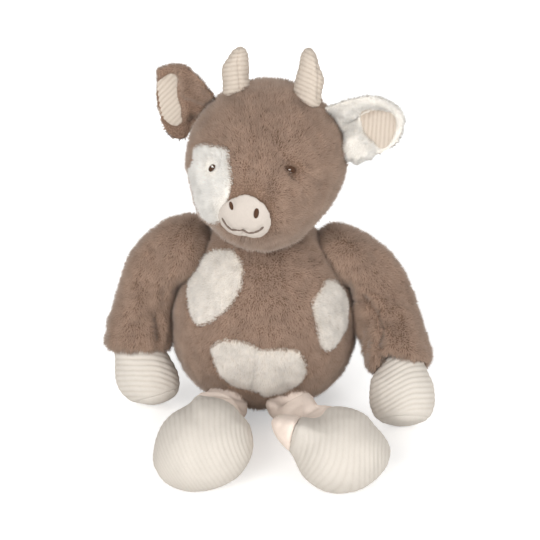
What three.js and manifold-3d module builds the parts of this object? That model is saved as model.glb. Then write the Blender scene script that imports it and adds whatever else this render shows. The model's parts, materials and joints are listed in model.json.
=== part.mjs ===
// Plush cow that sits with its legs out in front and its arms hanging beside the belly.
// Millimetres, +Z up. The toy faces -Y and its own left is +X.
// The origin is the middle of the flat seat, on the floor.
import * as THREE from 'three';
import { mergeVertices } from 'three/addons/utils/BufferGeometryUtils.js';
import Module from 'manifold-3d';

const wasm = await Module();
wasm.setup();

const degree = Math.PI / 180;

// Cloth and fit
const fitGap = 0.3;
const swingGap = 0.9;
const furSkin = 3;
const seatCut = 0.5;
const overrun = 200;
const weldReach = 0.0001;

// Body: an egg with a flattened seat
const bellyRadius = 63.5;
const bellyHeight = 56;
const bodyHeight = 133;
const seatSquareness = 2.3;
const pelletBagHeight = 16;
const bodyColumns = 24;
const bodyRows = 12;
const innerColumns = 16;
const innerRows = 8;

// Neck: a ball of filling that sits half in the body and half in the head
const neckRadius = 26;
const neckDepth = 13;
const neckHeight = bodyHeight - neckDepth;
const jointColumns = 20;

// Head
const headWidth = 105;
const headDepth = 102;
const headHeight = 112;
const headAside = 2;
const headForward = 11;
const headRise = 54.5;
const headCentreHeight = neckHeight + headRise;
const headYaw = -11 * degree;
const headRoll = 4 * degree;
const jawTaper = 0.22;
const snoutReach = 8;
const snoutDrop = 13 * degree;
const snoutSpread = 0.25;
const nodDown = 12 * degree;
const nodUp = 15 * degree;
const headColumns = 24;
const headRows = 12;

// Muzzle pad, nostrils, mouth and eyes
const muzzlePad = 3;
const muzzleEdge = 1;
const threadHeight = 0.8;
const mouthThread = 0.8;

// Horns
const hornRadius = 9.2;
const hornTip = 7;
const hornSpread = 25 * degree;
const hornRoot = 6;
const hornBow = 3;
const rightHornLength = 29.5;
const leftHornLength = 32.5;

// Ears
const earLength = 44;
const earWidth = 47;
const earThickness = 6;
const earCup = 9;
const earRoot = 5;
const earHem = 5;
const liningThickness = 1.6;
const liningStartShare = 0.2;
const leafRootShare = 0.72;
const leafWidestShare = 0.42;
const earLongitude = 100 * degree;
const earFlop = 20 * degree;

// Arms and hands
const shoulderAside = 55;
const shoulderBack = 2;
const shoulderDepth = 27;
const shoulderHeight = bodyHeight - shoulderDepth;
const armRadius = 20.5;
const shoulderRadius = 21;
const cuffRadius = 22;
const cuffRound = 7;
const handRadius = 21.8;
const handLength = 46;
const handLap = 13;
const solePanel = 3.4;
const elbowShare = 0.45;
const hoofSteps = 9;
const hoofSides = 16;
const swingSteps = 6;
const swingSides = 24;
// Across and up from the middle of the sole
const hoofShares = [
  [0.62, 0], [0.88, 0.06], [0.99, 0.22], [1, 0.42],
  [0.93, 0.6], [0.8, 0.75], [0.66, 0.9], [0.45, 1],
];

// Legs and feet
const hipForward = 48;
const hipHeight = 22;
const hipRadius = 19.5;
const legRadius = 15.5;
const ankleRadius = 16.5;
const footWidth = 65;
const footLength = 66;
const footHeight = 57.5;
const footColumns = 18;
const footRows = 10;
const legLift = 20 * degree;
const legDrop = 10 * degree;

// Tail
const tailHeight = 40;
const tailRadius = 4.5;
const tailReach = 34;
const tailWag = 30 * degree;
const tuftRadius = 9;
const tuftLength = 26;

const fur = { brown: 0x92796a, cream: 0xe9e0d3 };
const cord = 0xece2d7;
const velour = 0xe4d2c3;
const fibre = 0xf6f4ee;
const thread = { brown: 0x5f4636, grey: 0x8a8078 };

// Arms differ a little, as they lie in the photograph: how far the wrist is out and forward of the
// shoulder, how far the elbow bows back and how the hand points forward and inward.
const armSides = [
  {
    side: -1, name: 'right', wristOut: 31.5, wristForward: 15,
    elbowOut: 11, elbowBow: 5, handTilt: 26 * degree, handIn: 22 * degree,
  },
  {
    side: 1, name: 'left', wristOut: 37.5, wristForward: 43,
    elbowOut: 10, elbowBow: 12, handTilt: 36 * degree, handIn: -2 * degree,
  },
];

const legSides = [
  { side: -1, name: 'right', hipAside: 27, footAside: 38.5, footForward: 119, footTurn: 8 * degree },
  { side: 1, name: 'left', hipAside: 19, footAside: 47.5, footForward: 123, footTurn: 28 * degree },
];

const hornSides = [
  { side: -1, name: 'right', length: rightHornLength },
  { side: 1, name: 'left', length: leftHornLength },
];

const earSides = [
  {
    side: -1, name: 'right', colour: fur.brown, latitude: 28 * degree,
    rise: 50 * degree, ahead: 2 * degree, twist: -15 * degree,
  },
  {
    side: 1, name: 'left', colour: fur.cream, latitude: 34 * degree,
    rise: 18 * degree, ahead: 0, twist: 8 * degree,
  },
];

// Cream fur let into the brown fur. An outline is the distance from the middle, as shares of the
// size, at equal steps round from the toy's left side, going up.
const bodyPatches = [
  {
    name: 'patch_chest', longitude: -38.8 * degree, latitude: 36.5 * degree, size: 27.6,
    outlineShares: [0.65, 0.71, 0.8, 0.86, 0.89, 1, 0.96, 0.9, 0.94, 0.82, 0.67, 0.64],
  },
  {
    name: 'patch_flank', longitude: 46.5 * degree, latitude: 19.2 * degree, size: 22.2,
    outlineShares: [0.99, 1, 0.91, 0.76, 0.68, 0.7, 0.61, 0.68, 0.91, 0.9, 0.8, 0.87],
  },
  {
    name: 'patch_belly', longitude: -2.2 * degree, latitude: -2 * degree, size: 31.4,
    outlineShares: [0.98, 0.67, 0.42, 0.38, 0.53, 0.89, 1, 0.85, 0.66, 0.7, 0.83, 0.99],
  },
];
const eyePatch = {
  longitude: -31 * degree, latitude: 3.7 * degree, size: 30,
  outlineShares: [0.57, 0.63, 0.71, 0.77, 0.78, 0.92, 0.81, 0.85, 0.98, 0.92, 0.59, 0.53],
};
const muzzle = {
  longitude: -2.8 * degree, latitude: -11 * degree, size: 24,
  outlineShares: [0.75, 0.7, 0.65, 0.64, 0.58, 0.62, 0.77, 0.93, 0.87, 0.66, 0.83, 0.83],
};
const nostrils = [
  { name: 'nostril_right', acrossShare: -0.4, upShare: 0.23, size: 2.6, outlineShares: [0.55, 0.8, 1, 0.7] },
  { name: 'nostril_left', acrossShare: 0.34, upShare: 0.15, size: 3.1, outlineShares: [0.55, 0.7, 1, 0.8] },
];
const mouthShares = [
  [-0.7, -0.29], [-0.6, -0.46], [-0.42, -0.58], [-0.24, -0.56], [-0.06, -0.46],
  [0.13, -0.55], [0.3, -0.52], [0.54, -0.3],
];
const eyes = [
  {
    name: 'eye_right', longitude: -31.5 * degree, latitude: 13.5 * degree, size: 2.6,
    outlineShares: [0.6, 1, 0.9, 0.6, 0.6, 1, 0.9, 0.6],
  },
  {
    name: 'eye_left', longitude: 27.8 * degree, latitude: 20.5 * degree, size: 2.6,
    outlineShares: [0.8, 0.6, 0.9, 1, 0.8, 0.6, 0.9, 1],
  },
];

const v = (x, y, z) => new THREE.Vector3(x, y, z);

// Solids
function solidOf(geometry) {
  const bare = geometry.clone();
  bare.deleteAttribute('normal');
  bare.deleteAttribute('uv');
  const welded = mergeVertices(bare, weldReach);
  const corners = Array.from(welded.index.array);
  const kept = [];
  for (let i = 0; i < corners.length; i += 3) {
    const [a, b, c] = corners.slice(i, i + 3);
    if (a !== b && b !== c && c !== a) kept.push(a, b, c);
  }
  return new wasm.Manifold(new wasm.Mesh({
    numProp: 3,
    vertProperties: new Float32Array(welded.attributes.position.array),
    triVerts: new Uint32Array(kept),
  }));
}

function geometryOf(solid) {
  const mesh = solid.getMesh();
  const geometry = new THREE.BufferGeometry();
  geometry.setAttribute('position', new THREE.BufferAttribute(new Float32Array(mesh.vertProperties), 3));
  geometry.setIndex(new THREE.BufferAttribute(new Uint32Array(mesh.triVerts), 1));
  geometry.computeVertexNormals();
  return geometry;
}

// A closed surface through rows of points. The first and the last row are a single point each.
function closedForm(rows) {
  const places = [];
  const starts = [];
  for (const row of rows) {
    starts.push(places.length / 3);
    for (const point of row) places.push(point.x, point.y, point.z);
  }
  const sides = rows[1].length;
  const faces = [];
  for (let i = 0; i < rows.length - 1; i += 1) {
    for (let j = 0; j < sides; j += 1) {
      const next = (j + 1) % sides;
      const a = starts[i] + (rows[i].length > 1 ? j : 0);
      const b = starts[i] + (rows[i].length > 1 ? next : 0);
      const c = starts[i + 1] + (rows[i + 1].length > 1 ? next : 0);
      const d = starts[i + 1] + (rows[i + 1].length > 1 ? j : 0);
      if (a !== b) faces.push(a, b, c);
      if (c !== d) faces.push(a, c, d);
    }
  }
  const geometry = new THREE.BufferGeometry();
  geometry.setAttribute('position', new THREE.BufferAttribute(new Float32Array(places), 3));
  geometry.setIndex(faces);
  return volumeOf(geometry) < 0 ? turnedOut(geometry) : geometry;
}

function volumeOf(geometry) {
  const at = geometry.attributes.position;
  const index = geometry.index.array;
  const [a, b, c] = [v(), v(), v()];
  let sum = 0;
  for (let i = 0; i < index.length; i += 3) {
    a.fromBufferAttribute(at, index[i]);
    b.fromBufferAttribute(at, index[i + 1]);
    c.fromBufferAttribute(at, index[i + 2]);
    sum += a.dot(b.cross(c)) / 6;
  }
  return sum;
}

function turnedOut(geometry) {
  const index = Array.from(geometry.index.array);
  for (let i = 0; i < index.length; i += 3) [index[i], index[i + 1]] = [index[i + 1], index[i]];
  geometry.setIndex(index);
  return geometry;
}

function ballForm(centre, radius) {
  const ball = new THREE.SphereGeometry(radius, jointColumns, jointColumns / 2);
  return solidOf(ball.translate(centre.x, centre.y, centre.z));
}

// A ball with its flat facets all outside the true sphere
const socketBall = (centre, radius) => ballForm(centre, radius / Math.cos(Math.PI / jointColumns) ** 2);

function block(low, high) {
  const size = high.clone().sub(low);
  const middle = high.clone().add(low).multiplyScalar(0.5);
  return solidOf(new THREE.BoxGeometry(size.x, size.y, size.z).translate(middle.x, middle.y, middle.z));
}

const under = (height) => block(v(-overrun, -overrun, -overrun), v(overrun, overrun, height));
const over = (height) => block(v(-overrun, -overrun, height), v(overrun, overrun, overrun));
const floor = under(0);

// A solid moved by a matrix
function moved(solid, matrix) {
  return solidOf(geometryOf(solid).applyMatrix4(matrix));
}

// The room that an obstacle takes, seen from a limb that turns by each of the angles about an axis
function sweptObstacle(obstacle, pivot, axis, angles) {
  const back = new THREE.Matrix4().makeTranslation(-pivot.x, -pivot.y, -pivot.z);
  const forth = new THREE.Matrix4().makeTranslation(pivot.x, pivot.y, pivot.z);
  let room = null;
  for (const angle of angles) {
    const turn = new THREE.Matrix4().makeRotationAxis(axis, -angle);
    const copy = moved(obstacle, forth.clone().multiply(turn).multiply(back));
    room = room ? room.add(copy) : copy;
  }
  return room;
}

const wayTo = (longitude, latitude) => v(
  Math.sin(longitude) * Math.cos(latitude),
  -Math.cos(longitude) * Math.cos(latitude),
  Math.sin(latitude),
);
const roundPart = (part, power) => Math.sign(part) * Math.abs(part) ** (2 / power);

// Body surface by longitude from the front and latitude from the widest ring
const bodyForm = {
  radius: bellyRadius,
  point(longitude, latitude, grow = 0) {
    const low = latitude < 0;
    const power = low ? seatSquareness : 2;
    const radius = (bellyRadius + grow) * roundPart(Math.cos(latitude), power);
    const rise = grow + (low ? bellyHeight + seatCut : bodyHeight - bellyHeight);
    const height = bellyHeight + rise * roundPart(Math.sin(latitude), power);
    return v(radius * Math.sin(longitude), -radius * Math.cos(longitude), height);
  },
};

// Head surface about the head's own centre, with a narrower jaw and a snout
const snoutWay = v(0, -Math.cos(snoutDrop), -Math.sin(snoutDrop));
const headForm = {
  radius: headHeight / 2,
  point(longitude, latitude, grow = 0) {
    const way = wayTo(longitude, latitude);
    const jaw = 1 - jawTaper * Math.min(way.z, 0) ** 2;
    const bulge = snoutReach * Math.exp(-(1 - way.dot(snoutWay)) / snoutSpread);
    return v(
      way.x * (headWidth / 2 + grow) * jaw,
      way.y * (headDepth / 2 + grow),
      way.z * (headHeight / 2 + grow),
    ).addScaledVector(snoutWay, bulge);
  },
};

function roundForm(form, grow, columns, rowCount) {
  const rows = [];
  for (let i = 0; i <= rowCount; i += 1) {
    const latitude = (i / rowCount - 0.5) * Math.PI;
    const single = i === 0 || i === rowCount;
    const row = [];
    for (let j = 0; j < (single ? 1 : columns); j += 1) {
      row.push(form.point(j / columns * 2 * Math.PI, latitude, grow));
    }
    rows.push(row);
  }
  return solidOf(closedForm(rows));
}

// A spot on a form: its outline is a distance every so many degrees round its middle, as shares
// of its size, counted from the toy's left, going up.
function outlineReach(spot, bearing) {
  const count = spot.outlineShares.length;
  const place = ((bearing / (2 * Math.PI)) % 1 + 1) % 1 * count;
  const first = Math.floor(place);
  const t = place - first;
  const [p, q, r, s] = [-1, 0, 1, 2].map((k) => spot.outlineShares[(first + k + count) % count]);
  const share = q + t * ((r - p) + t * ((2 * p - 5 * q + 4 * r - s) + t * (3 * q - p - 3 * r + s))) / 2;
  return spot.size * share;
}

function spotPlace(form, spot, across, up, lift) {
  const { longitude, latitude } = spot;
  const middle = wayTo(longitude, latitude);
  const east = v(Math.cos(longitude), Math.sin(longitude), 0);
  const north = middle.clone().cross(east);
  const angle = Math.hypot(across, up) / form.radius;
  const bearing = Math.atan2(up, across);
  const sideways = east.multiplyScalar(Math.cos(bearing)).addScaledVector(north, Math.sin(bearing));
  const way = middle.multiplyScalar(Math.cos(angle)).addScaledVector(sideways, Math.sin(angle));
  return form.point(Math.atan2(way.x, -way.y), Math.asin(THREE.MathUtils.clamp(way.z, -1, 1)), lift);
}

// A patch that follows the form. Its top and bottom are heights over the form, worked out from the
// share of the way to the outline and the place across and up from the spot's middle.
function patchForm(form, spot, { top, bottom, grow = 0, ringCount = 2, sides = 20 }) {
  const ring = (share, lift) => {
    const row = [];
    for (let j = 0; j < (share > 0 ? sides : 1); j += 1) {
      const bearing = j / sides * 2 * Math.PI;
      const reach = share * (outlineReach(spot, bearing) + grow);
      const across = (spot.across ?? 0) + reach * Math.cos(bearing);
      const up = (spot.up ?? 0) + reach * Math.sin(bearing);
      row.push(spotPlace(form, spot, across, up, lift(share, across, up)));
    }
    return row;
  };
  const rows = [];
  for (let i = 0; i <= ringCount; i += 1) rows.push(ring(i / ringCount, top));
  for (let i = ringCount; i >= 0; i -= 1) rows.push(ring(i / ringCount, bottom));
  return solidOf(closedForm(rows));
}

// A stuffed tube along a path with round ends
function limbForm({ path, radiusAt, startRound, endRound, across, rings = 14, sides = 16 }) {
  const length = path.getLength();
  const rows = [];
  for (let i = 0; i <= rings; i += 1) {
    const share = (1 - Math.cos(Math.PI * i / rings)) / 2;
    const centre = path.getPointAt(share);
    const along = path.getTangentAt(share);
    const first = across.clone().addScaledVector(along, -across.dot(along)).normalize();
    const second = along.clone().cross(first);
    const fromStart = Math.max(0, 1 - share * length / startRound);
    const fromEnd = Math.max(0, 1 - (1 - share) * length / endRound);
    const radius = radiusAt(share) * Math.sqrt((1 - fromStart ** 2) * (1 - fromEnd ** 2));
    const row = [];
    const single = i === 0 || i === rings;
    for (let j = 0; j < (single ? 1 : sides); j += 1) {
      const turn = j / sides * 2 * Math.PI;
      row.push(centre.clone()
        .addScaledVector(first, single ? 0 : radius * Math.cos(turn))
        .addScaledVector(second, single ? 0 : radius * Math.sin(turn)));
    }
    rows.push(row);
  }
  return solidOf(closedForm(rows));
}

const mix = (from, to, share) => from + (to - from) * share;
const ease = (share) => share * share * (3 - 2 * share);

const cow = new THREE.Group();
cow.name = 'plush_cow';

function addPiece(name, solid, colour, roughness = 0.95, parent = cow) {
  const material = new THREE.MeshStandardMaterial({ color: colour, roughness, metalness: 0 });
  const piece = new THREE.Mesh(geometryOf(solid), material);
  piece.name = name;
  parent.add(piece);
}

// Joint places
const neck = v(0, 0, neckHeight);
const headGroup = new THREE.Group();
headGroup.position.set(headAside, -headForward, headCentreHeight);
headGroup.rotation.order = 'ZYX';
headGroup.rotation.set(0, headRoll, headYaw);
headGroup.updateMatrixWorld(true);
cow.add(headGroup);
const intoHead = headGroup.matrixWorld.clone().invert();
const nodAxis = v(Math.cos(headYaw), Math.sin(headYaw), 0);

const shoulderAt = (side) => v(side * shoulderAside, shoulderBack, shoulderHeight);
const hipAt = (leg) => v(leg.side * leg.hipAside, -hipForward, hipHeight);
const shoulderSockets = [-1, 1].map((side) => socketBall(shoulderAt(side), shoulderRadius + fitGap));
const hipSockets = legSides.map((leg) => socketBall(hipAt(leg), hipRadius + fitGap));
const neckSocket = socketBall(neck, neckRadius + fitGap);
const sockets = [...shoulderSockets, ...hipSockets, neckSocket];
const lessSockets = (solid) => sockets.reduce((rest, socket) => rest.subtract(socket), solid);

// Body: skin with its let-in patches, filling and pellet bag
const bodyRoom = roundForm(bodyForm, fitGap, bodyColumns, bodyRows);
const inlay = { top: () => furSkin, bottom: () => -2 * furSkin };
const inlayHole = { ...inlay, grow: fitGap };

const bodyShell = lessSockets(roundForm(bodyForm, 0, bodyColumns, bodyRows)
  .subtract(roundForm(bodyForm, -furSkin, innerColumns, innerRows))
  .subtract(floor));
let bodySkin = bodyShell;
for (const patch of bodyPatches) {
  bodySkin = bodySkin.subtract(patchForm(bodyForm, patch, inlayHole));
  addPiece(patch.name, bodyShell.intersect(patchForm(bodyForm, patch, inlay)), fur.cream);
}
addPiece('body_skin', bodySkin, fur.brown);

const fillingGrow = -furSkin - fitGap;
const bodyFilling = lessSockets(roundForm(bodyForm, fillingGrow, innerColumns, innerRows));
addPiece('body_stuffing', bodyFilling.intersect(over(pelletBagHeight + fitGap)), fibre);
addPiece('pellet_bag', bodyFilling.intersect(under(pelletBagHeight)), fibre);
addPiece('neck_stuffing', ballForm(neck, neckRadius), fibre);

// Head: skin with the eye patch, filling, and the room that the body needs under a nodding head
const nodRoom = moved(sweptObstacle(bodyRoom, neck, nodAxis, [nodDown, 0, -nodUp]), intoHead);
const headSocket = moved(neckSocket, intoHead);
const headShell = roundForm(headForm, 0, headColumns, headRows)
  .subtract(roundForm(headForm, -furSkin, innerColumns, innerRows))
  .subtract(headSocket)
  .subtract(nodRoom);
const headSkin = headShell.subtract(patchForm(headForm, eyePatch, inlayHole));
addPiece('head_skin', headSkin, fur.brown, 0.95, headGroup);
const eyeInlay = headShell.intersect(patchForm(headForm, eyePatch, inlay));
addPiece('eye_patch', eyeInlay, fur.cream, 0.95, headGroup);
const headFilling = roundForm(headForm, fillingGrow, innerColumns, innerRows);
addPiece('head_stuffing', headFilling.subtract(headSocket).subtract(nodRoom), fibre, 0.95, headGroup);

// Face: a padded muzzle with stitched nostrils and mouth, and two stitched eyes
function padTop(share) {
  const dome = Math.sqrt(1 - Math.min(share, 1) ** 2);
  return fitGap + mix(muzzleEdge, muzzlePad, dome);
}
function padOver(across, up) {
  return padTop(Math.hypot(across, up) / outlineReach(muzzle, Math.atan2(up, across)));
}
const muzzleShape = { top: padTop, bottom: () => fitGap, ringCount: 4 };
addPiece('muzzle', patchForm(headForm, muzzle, muzzleShape), velour, 0.8, headGroup);

for (const nostril of nostrils) {
  const { longitude, latitude, size } = muzzle;
  const [across, up] = [nostril.acrossShare * size, nostril.upShare * size];
  const spot = { ...nostril, longitude, latitude, across, up };
  const stitched = patchForm(headForm, spot, {
    top: (share, x, y) => padOver(x, y) + fitGap + threadHeight,
    bottom: (share, x, y) => padOver(x, y) + fitGap,
    ringCount: 1,
    sides: 12,
  });
  addPiece(nostril.name, stitched, thread.brown, 0.7, headGroup);
}

const mouthLine = mouthShares.map(([acrossShare, upShare]) => {
  const [across, up] = [acrossShare * muzzle.size, upShare * muzzle.size];
  return spotPlace(headForm, muzzle, across, up, padOver(across, up) + fitGap + mouthThread);
});
const mouth = limbForm({
  path: new THREE.CatmullRomCurve3(mouthLine),
  radiusAt: () => mouthThread,
  startRound: mouthThread,
  endRound: mouthThread,
  across: v(0, 0, 1),
  rings: 20,
  sides: 6,
});
addPiece('mouth', mouth, thread.grey, 0.7, headGroup);

for (const eye of eyes) {
  const stitched = patchForm(headForm, eye, {
    top: () => fitGap + threadHeight,
    bottom: () => fitGap,
    ringCount: 1,
    sides: 12,
  });
  addPiece(eye.name, stitched, thread.brown, 0.7, headGroup);
}

// Horns and ears
const headRoom = roundForm(headForm, fitGap, headColumns, headRows);
for (const { side, name, length } of hornSides) {
  const foot = headForm.point(side * Math.PI / 2, Math.PI / 2 - hornSpread);
  const path = new THREE.CatmullRomCurve3([
    foot.clone().add(v(0, 0, -hornRoot)),
    foot.clone().add(v(side * hornBow, 0, length / 2)),
    foot.clone().add(v(0, 0, length)),
  ]);
  const horn = limbForm({
    path,
    radiusAt: (share) => mix(hornRadius, hornTip, share ** 2),
    startRound: hornRoot / 2,
    endRound: hornTip,
    across: v(0, 1, 0),
    rings: 10,
    sides: 14,
  });
  addPiece(`horn_${name}`, horn.subtract(headRoom), cord, 0.9, headGroup);
}

const leafWidth = (share) => (share < leafWidestShare
  ? mix(leafRootShare, 1, Math.sin(share / leafWidestShare * Math.PI / 2))
  : Math.sqrt(Math.max(0, 1 - ((share - leafWidestShare) / (1 - leafWidestShare)) ** 2)));
const ovalWidth = (share) => Math.sqrt(Math.max(0, 1 - (2 * share - 1) ** 2));

// A cupped leaf along +X with its hollow towards +Z. It starts and ends at the given lengths.
function leafForm({ start, end, halfWidth, widthAt, thickness, lift, stations = 12, sides = 16 }) {
  const rows = [];
  for (let i = 0; i <= stations; i += 1) {
    const share = (1 - Math.cos(Math.PI * i / stations)) / 2;
    const single = i === 0 || i === stations;
    const half = single ? 0 : halfWidth * widthAt(share);
    const row = [];
    for (let j = 0; j < (single ? 1 : sides); j += 1) {
      const turn = j / sides * 2 * Math.PI;
      const across = half * Math.cos(turn);
      const hollow = earCup * (across / (earWidth / 2)) ** 2;
      const skin = single ? 0 : thickness / 2 * Math.sin(turn);
      row.push(v(mix(start, end, share), across, lift + hollow + skin));
    }
    rows.push(row);
  }
  return solidOf(closedForm(rows));
}

for (const ear of earSides) {
  const along = v(
    ear.side * Math.cos(ear.rise) * Math.cos(ear.ahead),
    -Math.cos(ear.rise) * Math.sin(ear.ahead),
    Math.sin(ear.rise),
  );
  const facing = v(0, -1, 0).addScaledVector(along, along.y).normalize().applyAxisAngle(along, ear.twist);
  const across = facing.clone().cross(along);
  const root = headForm.point(ear.side * earLongitude, ear.latitude);
  const place = new THREE.Matrix4().makeBasis(along, across, facing).setPosition(root);
  const room = sweptObstacle(headRoom, root, across, [-earFlop, 0, earFlop]);
  const back = leafForm({
    start: -earRoot,
    end: earLength,
    halfWidth: earWidth / 2,
    widthAt: leafWidth,
    thickness: earThickness,
    lift: 0,
  });
  addPiece(`ear_${ear.name}`, moved(back, place).subtract(room), ear.colour, 0.95, headGroup);
  const lining = leafForm({
    start: earLength * liningStartShare,
    end: earLength - earHem,
    halfWidth: earWidth / 2 - earHem,
    widthAt: ovalWidth,
    thickness: liningThickness,
    lift: (earThickness + liningThickness) / 2 + fitGap,
    stations: 8,
    sides: 12,
  });
  addPiece(`ear_lining_${ear.name}`, moved(lining, place).subtract(room), cord, 0.9, headGroup);
}

// Hands: a hoof along +Z from its sole, turned on an outline
function hoof(grow) {
  const outline = new THREE.SplineCurve(hoofShares.map(([across, up]) => new THREE.Vector2(
    across * (handRadius + grow),
    mix(-grow, handLength + grow, up),
  )));
  const profile = [new THREE.Vector2(0, -grow), ...outline.getPoints(hoofSteps)];
  profile.push(new THREE.Vector2(0, handLength + grow));
  return new THREE.LatheGeometry(profile, hoofSides).rotateX(Math.PI / 2);
}

// The room that the belly takes in a turn about the shoulder's axis: the arm stays outside it
function swingRoom(side) {
  const shoulder = shoulderAt(side);
  const outline = [v(0, 0, 0), v(overrun, 0, 0), v(overrun, bellyRadius + fitGap, 0)];
  const top = Math.asin((shoulderHeight - bellyHeight) / (bodyHeight - bellyHeight));
  for (let i = 0; i <= swingSteps; i += 1) {
    const edge = bodyForm.point(0, top * i / swingSteps);
    outline.push(v(shoulderHeight - edge.z, fitGap - edge.y, 0));
  }
  const room = new THREE.LatheGeometry(outline, swingSides).rotateZ(-side * Math.PI / 2);
  return solidOf(room.translate(0, shoulder.y, shoulder.z));
}

const wholeHoof = solidOf(hoof(0));
const sole = wholeHoof.intersect(under(solePanel));
const hoofAbove = wholeHoof.intersect(over(solePanel + fitGap));

for (const arm of armSides) {
  const turn = new THREE.Matrix4().makeRotationY(arm.side * arm.handIn);
  turn.multiply(new THREE.Matrix4().makeRotationX(-arm.handTilt));
  const standing = hoof(0).applyMatrix4(turn);
  standing.computeBoundingBox();
  const wristUp = v(0, 0, handLength - handLap).applyMatrix4(turn);
  const wrist = v(
    arm.side * (shoulderAside + arm.wristOut),
    shoulderBack - arm.wristForward,
    wristUp.z - standing.boundingBox.min.z - seatCut,
  );
  const handPlace = turn.clone().setPosition(wrist.clone().sub(wristUp));
  addPiece(`hand_${arm.name}`, moved(hoofAbove, handPlace).subtract(floor), cord, 0.9);
  addPiece(`hand_sole_${arm.name}`, moved(sole, handPlace).subtract(floor), cord, 0.9);

  const shoulder = shoulderAt(arm.side);
  const elbow = shoulder.clone().lerp(wrist, elbowShare).add(v(arm.side * arm.elbowOut, arm.elbowBow, 0));
  const sleeve = limbForm({
    path: new THREE.CatmullRomCurve3([shoulder, elbow, wrist]),
    radiusAt: (share) => (share < elbowShare
      ? mix(shoulderRadius, armRadius, ease(share / elbowShare))
      : mix(armRadius, cuffRadius, ease((share - elbowShare) / (1 - elbowShare)))),
    startRound: fitGap,
    endRound: cuffRound,
    across: v(0, 1, 0),
    rings: 10,
    sides: 14,
  });
  const wholeArm = sleeve.subtract(swingRoom(arm.side)).add(ballForm(shoulder, shoulderRadius));
  addPiece(`arm_${arm.name}`, wholeArm.subtract(moved(solidOf(hoof(fitGap)), handPlace)), fur.brown);
}

// Legs and feet
const bodySwing = roundForm(bodyForm, swingGap, bodyColumns, bodyRows);
for (const leg of legSides) {
  const hip = hipAt(leg);
  const foot = v(leg.side * leg.footAside, -leg.footForward, footHeight / 2 - seatCut);
  const ball = (grow) => {
    const size = v(footWidth, footLength, footHeight).multiplyScalar(0.5).addScalar(grow);
    const round = new THREE.SphereGeometry(1, footColumns, footRows).rotateX(Math.PI / 2);
    round.scale(size.x, size.y, size.z).rotateZ(leg.side * leg.footTurn);
    return solidOf(round.translate(foot.x, foot.y, foot.z));
  };
  addPiece(`foot_${leg.name}`, ball(0).subtract(floor), cord, 0.9);

  const tube = limbForm({
    path: new THREE.CatmullRomCurve3([hip, hip.clone().lerp(foot, 0.5), foot]),
    radiusAt: (share) => mix(legRadius, ankleRadius, share),
    startRound: fitGap,
    endRound: ankleRadius / 2,
    across: v(0, 0, 1),
    rings: 7,
    sides: 14,
  });
  const room = sweptObstacle(bodySwing, hip, v(-1, 0, 0), [-legDrop, 0, legLift / 2, legLift]);
  const wholeLeg = tube.subtract(room).add(ballForm(hip, hipRadius));
  addPiece(`leg_${leg.name}`, wholeLeg.subtract(ball(fitGap)).subtract(floor), velour, 0.85);
}

// Tail with a tuft, hanging to the floor behind
const tailUp = -Math.asin(((bellyHeight - tailHeight) / (bellyHeight + seatCut)) ** (seatSquareness / 2));
const tailRoot = bodyForm.point(Math.PI, tailUp);
const tuftAt = v(0, tailRoot.y + tailReach, tuftRadius + fitGap);
const tailWay = v(0, 1, 0);
const tailTube = limbForm({
  path: new THREE.CatmullRomCurve3([
    tailRoot.clone().addScaledVector(tailWay, -tailRadius),
    tailRoot.clone().addScaledVector(tailWay, tailRadius),
    tailRoot.clone().lerp(tuftAt, 0.5).addScaledVector(tailWay, tailRadius),
    tuftAt,
  ]),
  radiusAt: () => tailRadius,
  startRound: tailRadius / 2,
  endRound: tailRadius,
  across: v(1, 0, 0),
  rings: 10,
  sides: 10,
});
const tuft = (grow) => {
  const round = new THREE.SphereGeometry(1, 12, 8).rotateX(Math.PI / 2);
  round.scale(tuftRadius + grow, tuftLength / 2 + grow, tuftRadius + grow);
  return solidOf(round.translate(tuftAt.x, tuftAt.y + tuftLength / 4, tuftAt.z));
};
const wagRoom = sweptObstacle(bodyRoom, tailRoot, v(0, 0, 1), [-tailWag, 0, tailWag]);
addPiece('tail', tailTube.subtract(wagRoom).subtract(tuft(fitGap)), fur.brown);
addPiece('tail_tuft', tuft(0), fur.cream);

export default cow;
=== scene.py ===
# %% [markdown]
# # A plush cow, dressed for its portrait
# The toy is sewn from a brown curly plush, the same plush in cream, a corduroy and a short velour.
# Its construction comes ready made as a frame of plain solids, in metres. Here each soft solid is
# replaced by a piece that has its real cloth.

# %% The frame
import json
import math
import random

import bmesh
import bpy
import numpy as np
from mathutils import Matrix, Vector, noise
from mathutils.bvhtree import BVHTree


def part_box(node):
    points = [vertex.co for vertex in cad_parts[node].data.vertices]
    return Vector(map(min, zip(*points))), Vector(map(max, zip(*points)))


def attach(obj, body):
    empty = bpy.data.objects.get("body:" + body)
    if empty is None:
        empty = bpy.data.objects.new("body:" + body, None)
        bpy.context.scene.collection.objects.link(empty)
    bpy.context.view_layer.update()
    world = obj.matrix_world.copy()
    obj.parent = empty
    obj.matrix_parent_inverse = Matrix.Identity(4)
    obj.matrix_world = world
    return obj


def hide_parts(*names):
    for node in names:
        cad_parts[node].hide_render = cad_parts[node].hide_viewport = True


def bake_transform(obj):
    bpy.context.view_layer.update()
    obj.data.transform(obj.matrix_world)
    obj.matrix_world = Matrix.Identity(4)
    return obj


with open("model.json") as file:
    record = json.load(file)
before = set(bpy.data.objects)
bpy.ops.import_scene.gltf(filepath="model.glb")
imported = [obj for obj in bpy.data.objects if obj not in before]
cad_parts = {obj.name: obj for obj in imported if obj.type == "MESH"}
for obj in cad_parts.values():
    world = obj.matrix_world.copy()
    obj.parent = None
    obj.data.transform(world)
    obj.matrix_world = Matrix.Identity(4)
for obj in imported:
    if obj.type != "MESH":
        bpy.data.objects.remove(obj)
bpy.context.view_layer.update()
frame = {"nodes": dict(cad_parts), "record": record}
mm = 0.001

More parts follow.
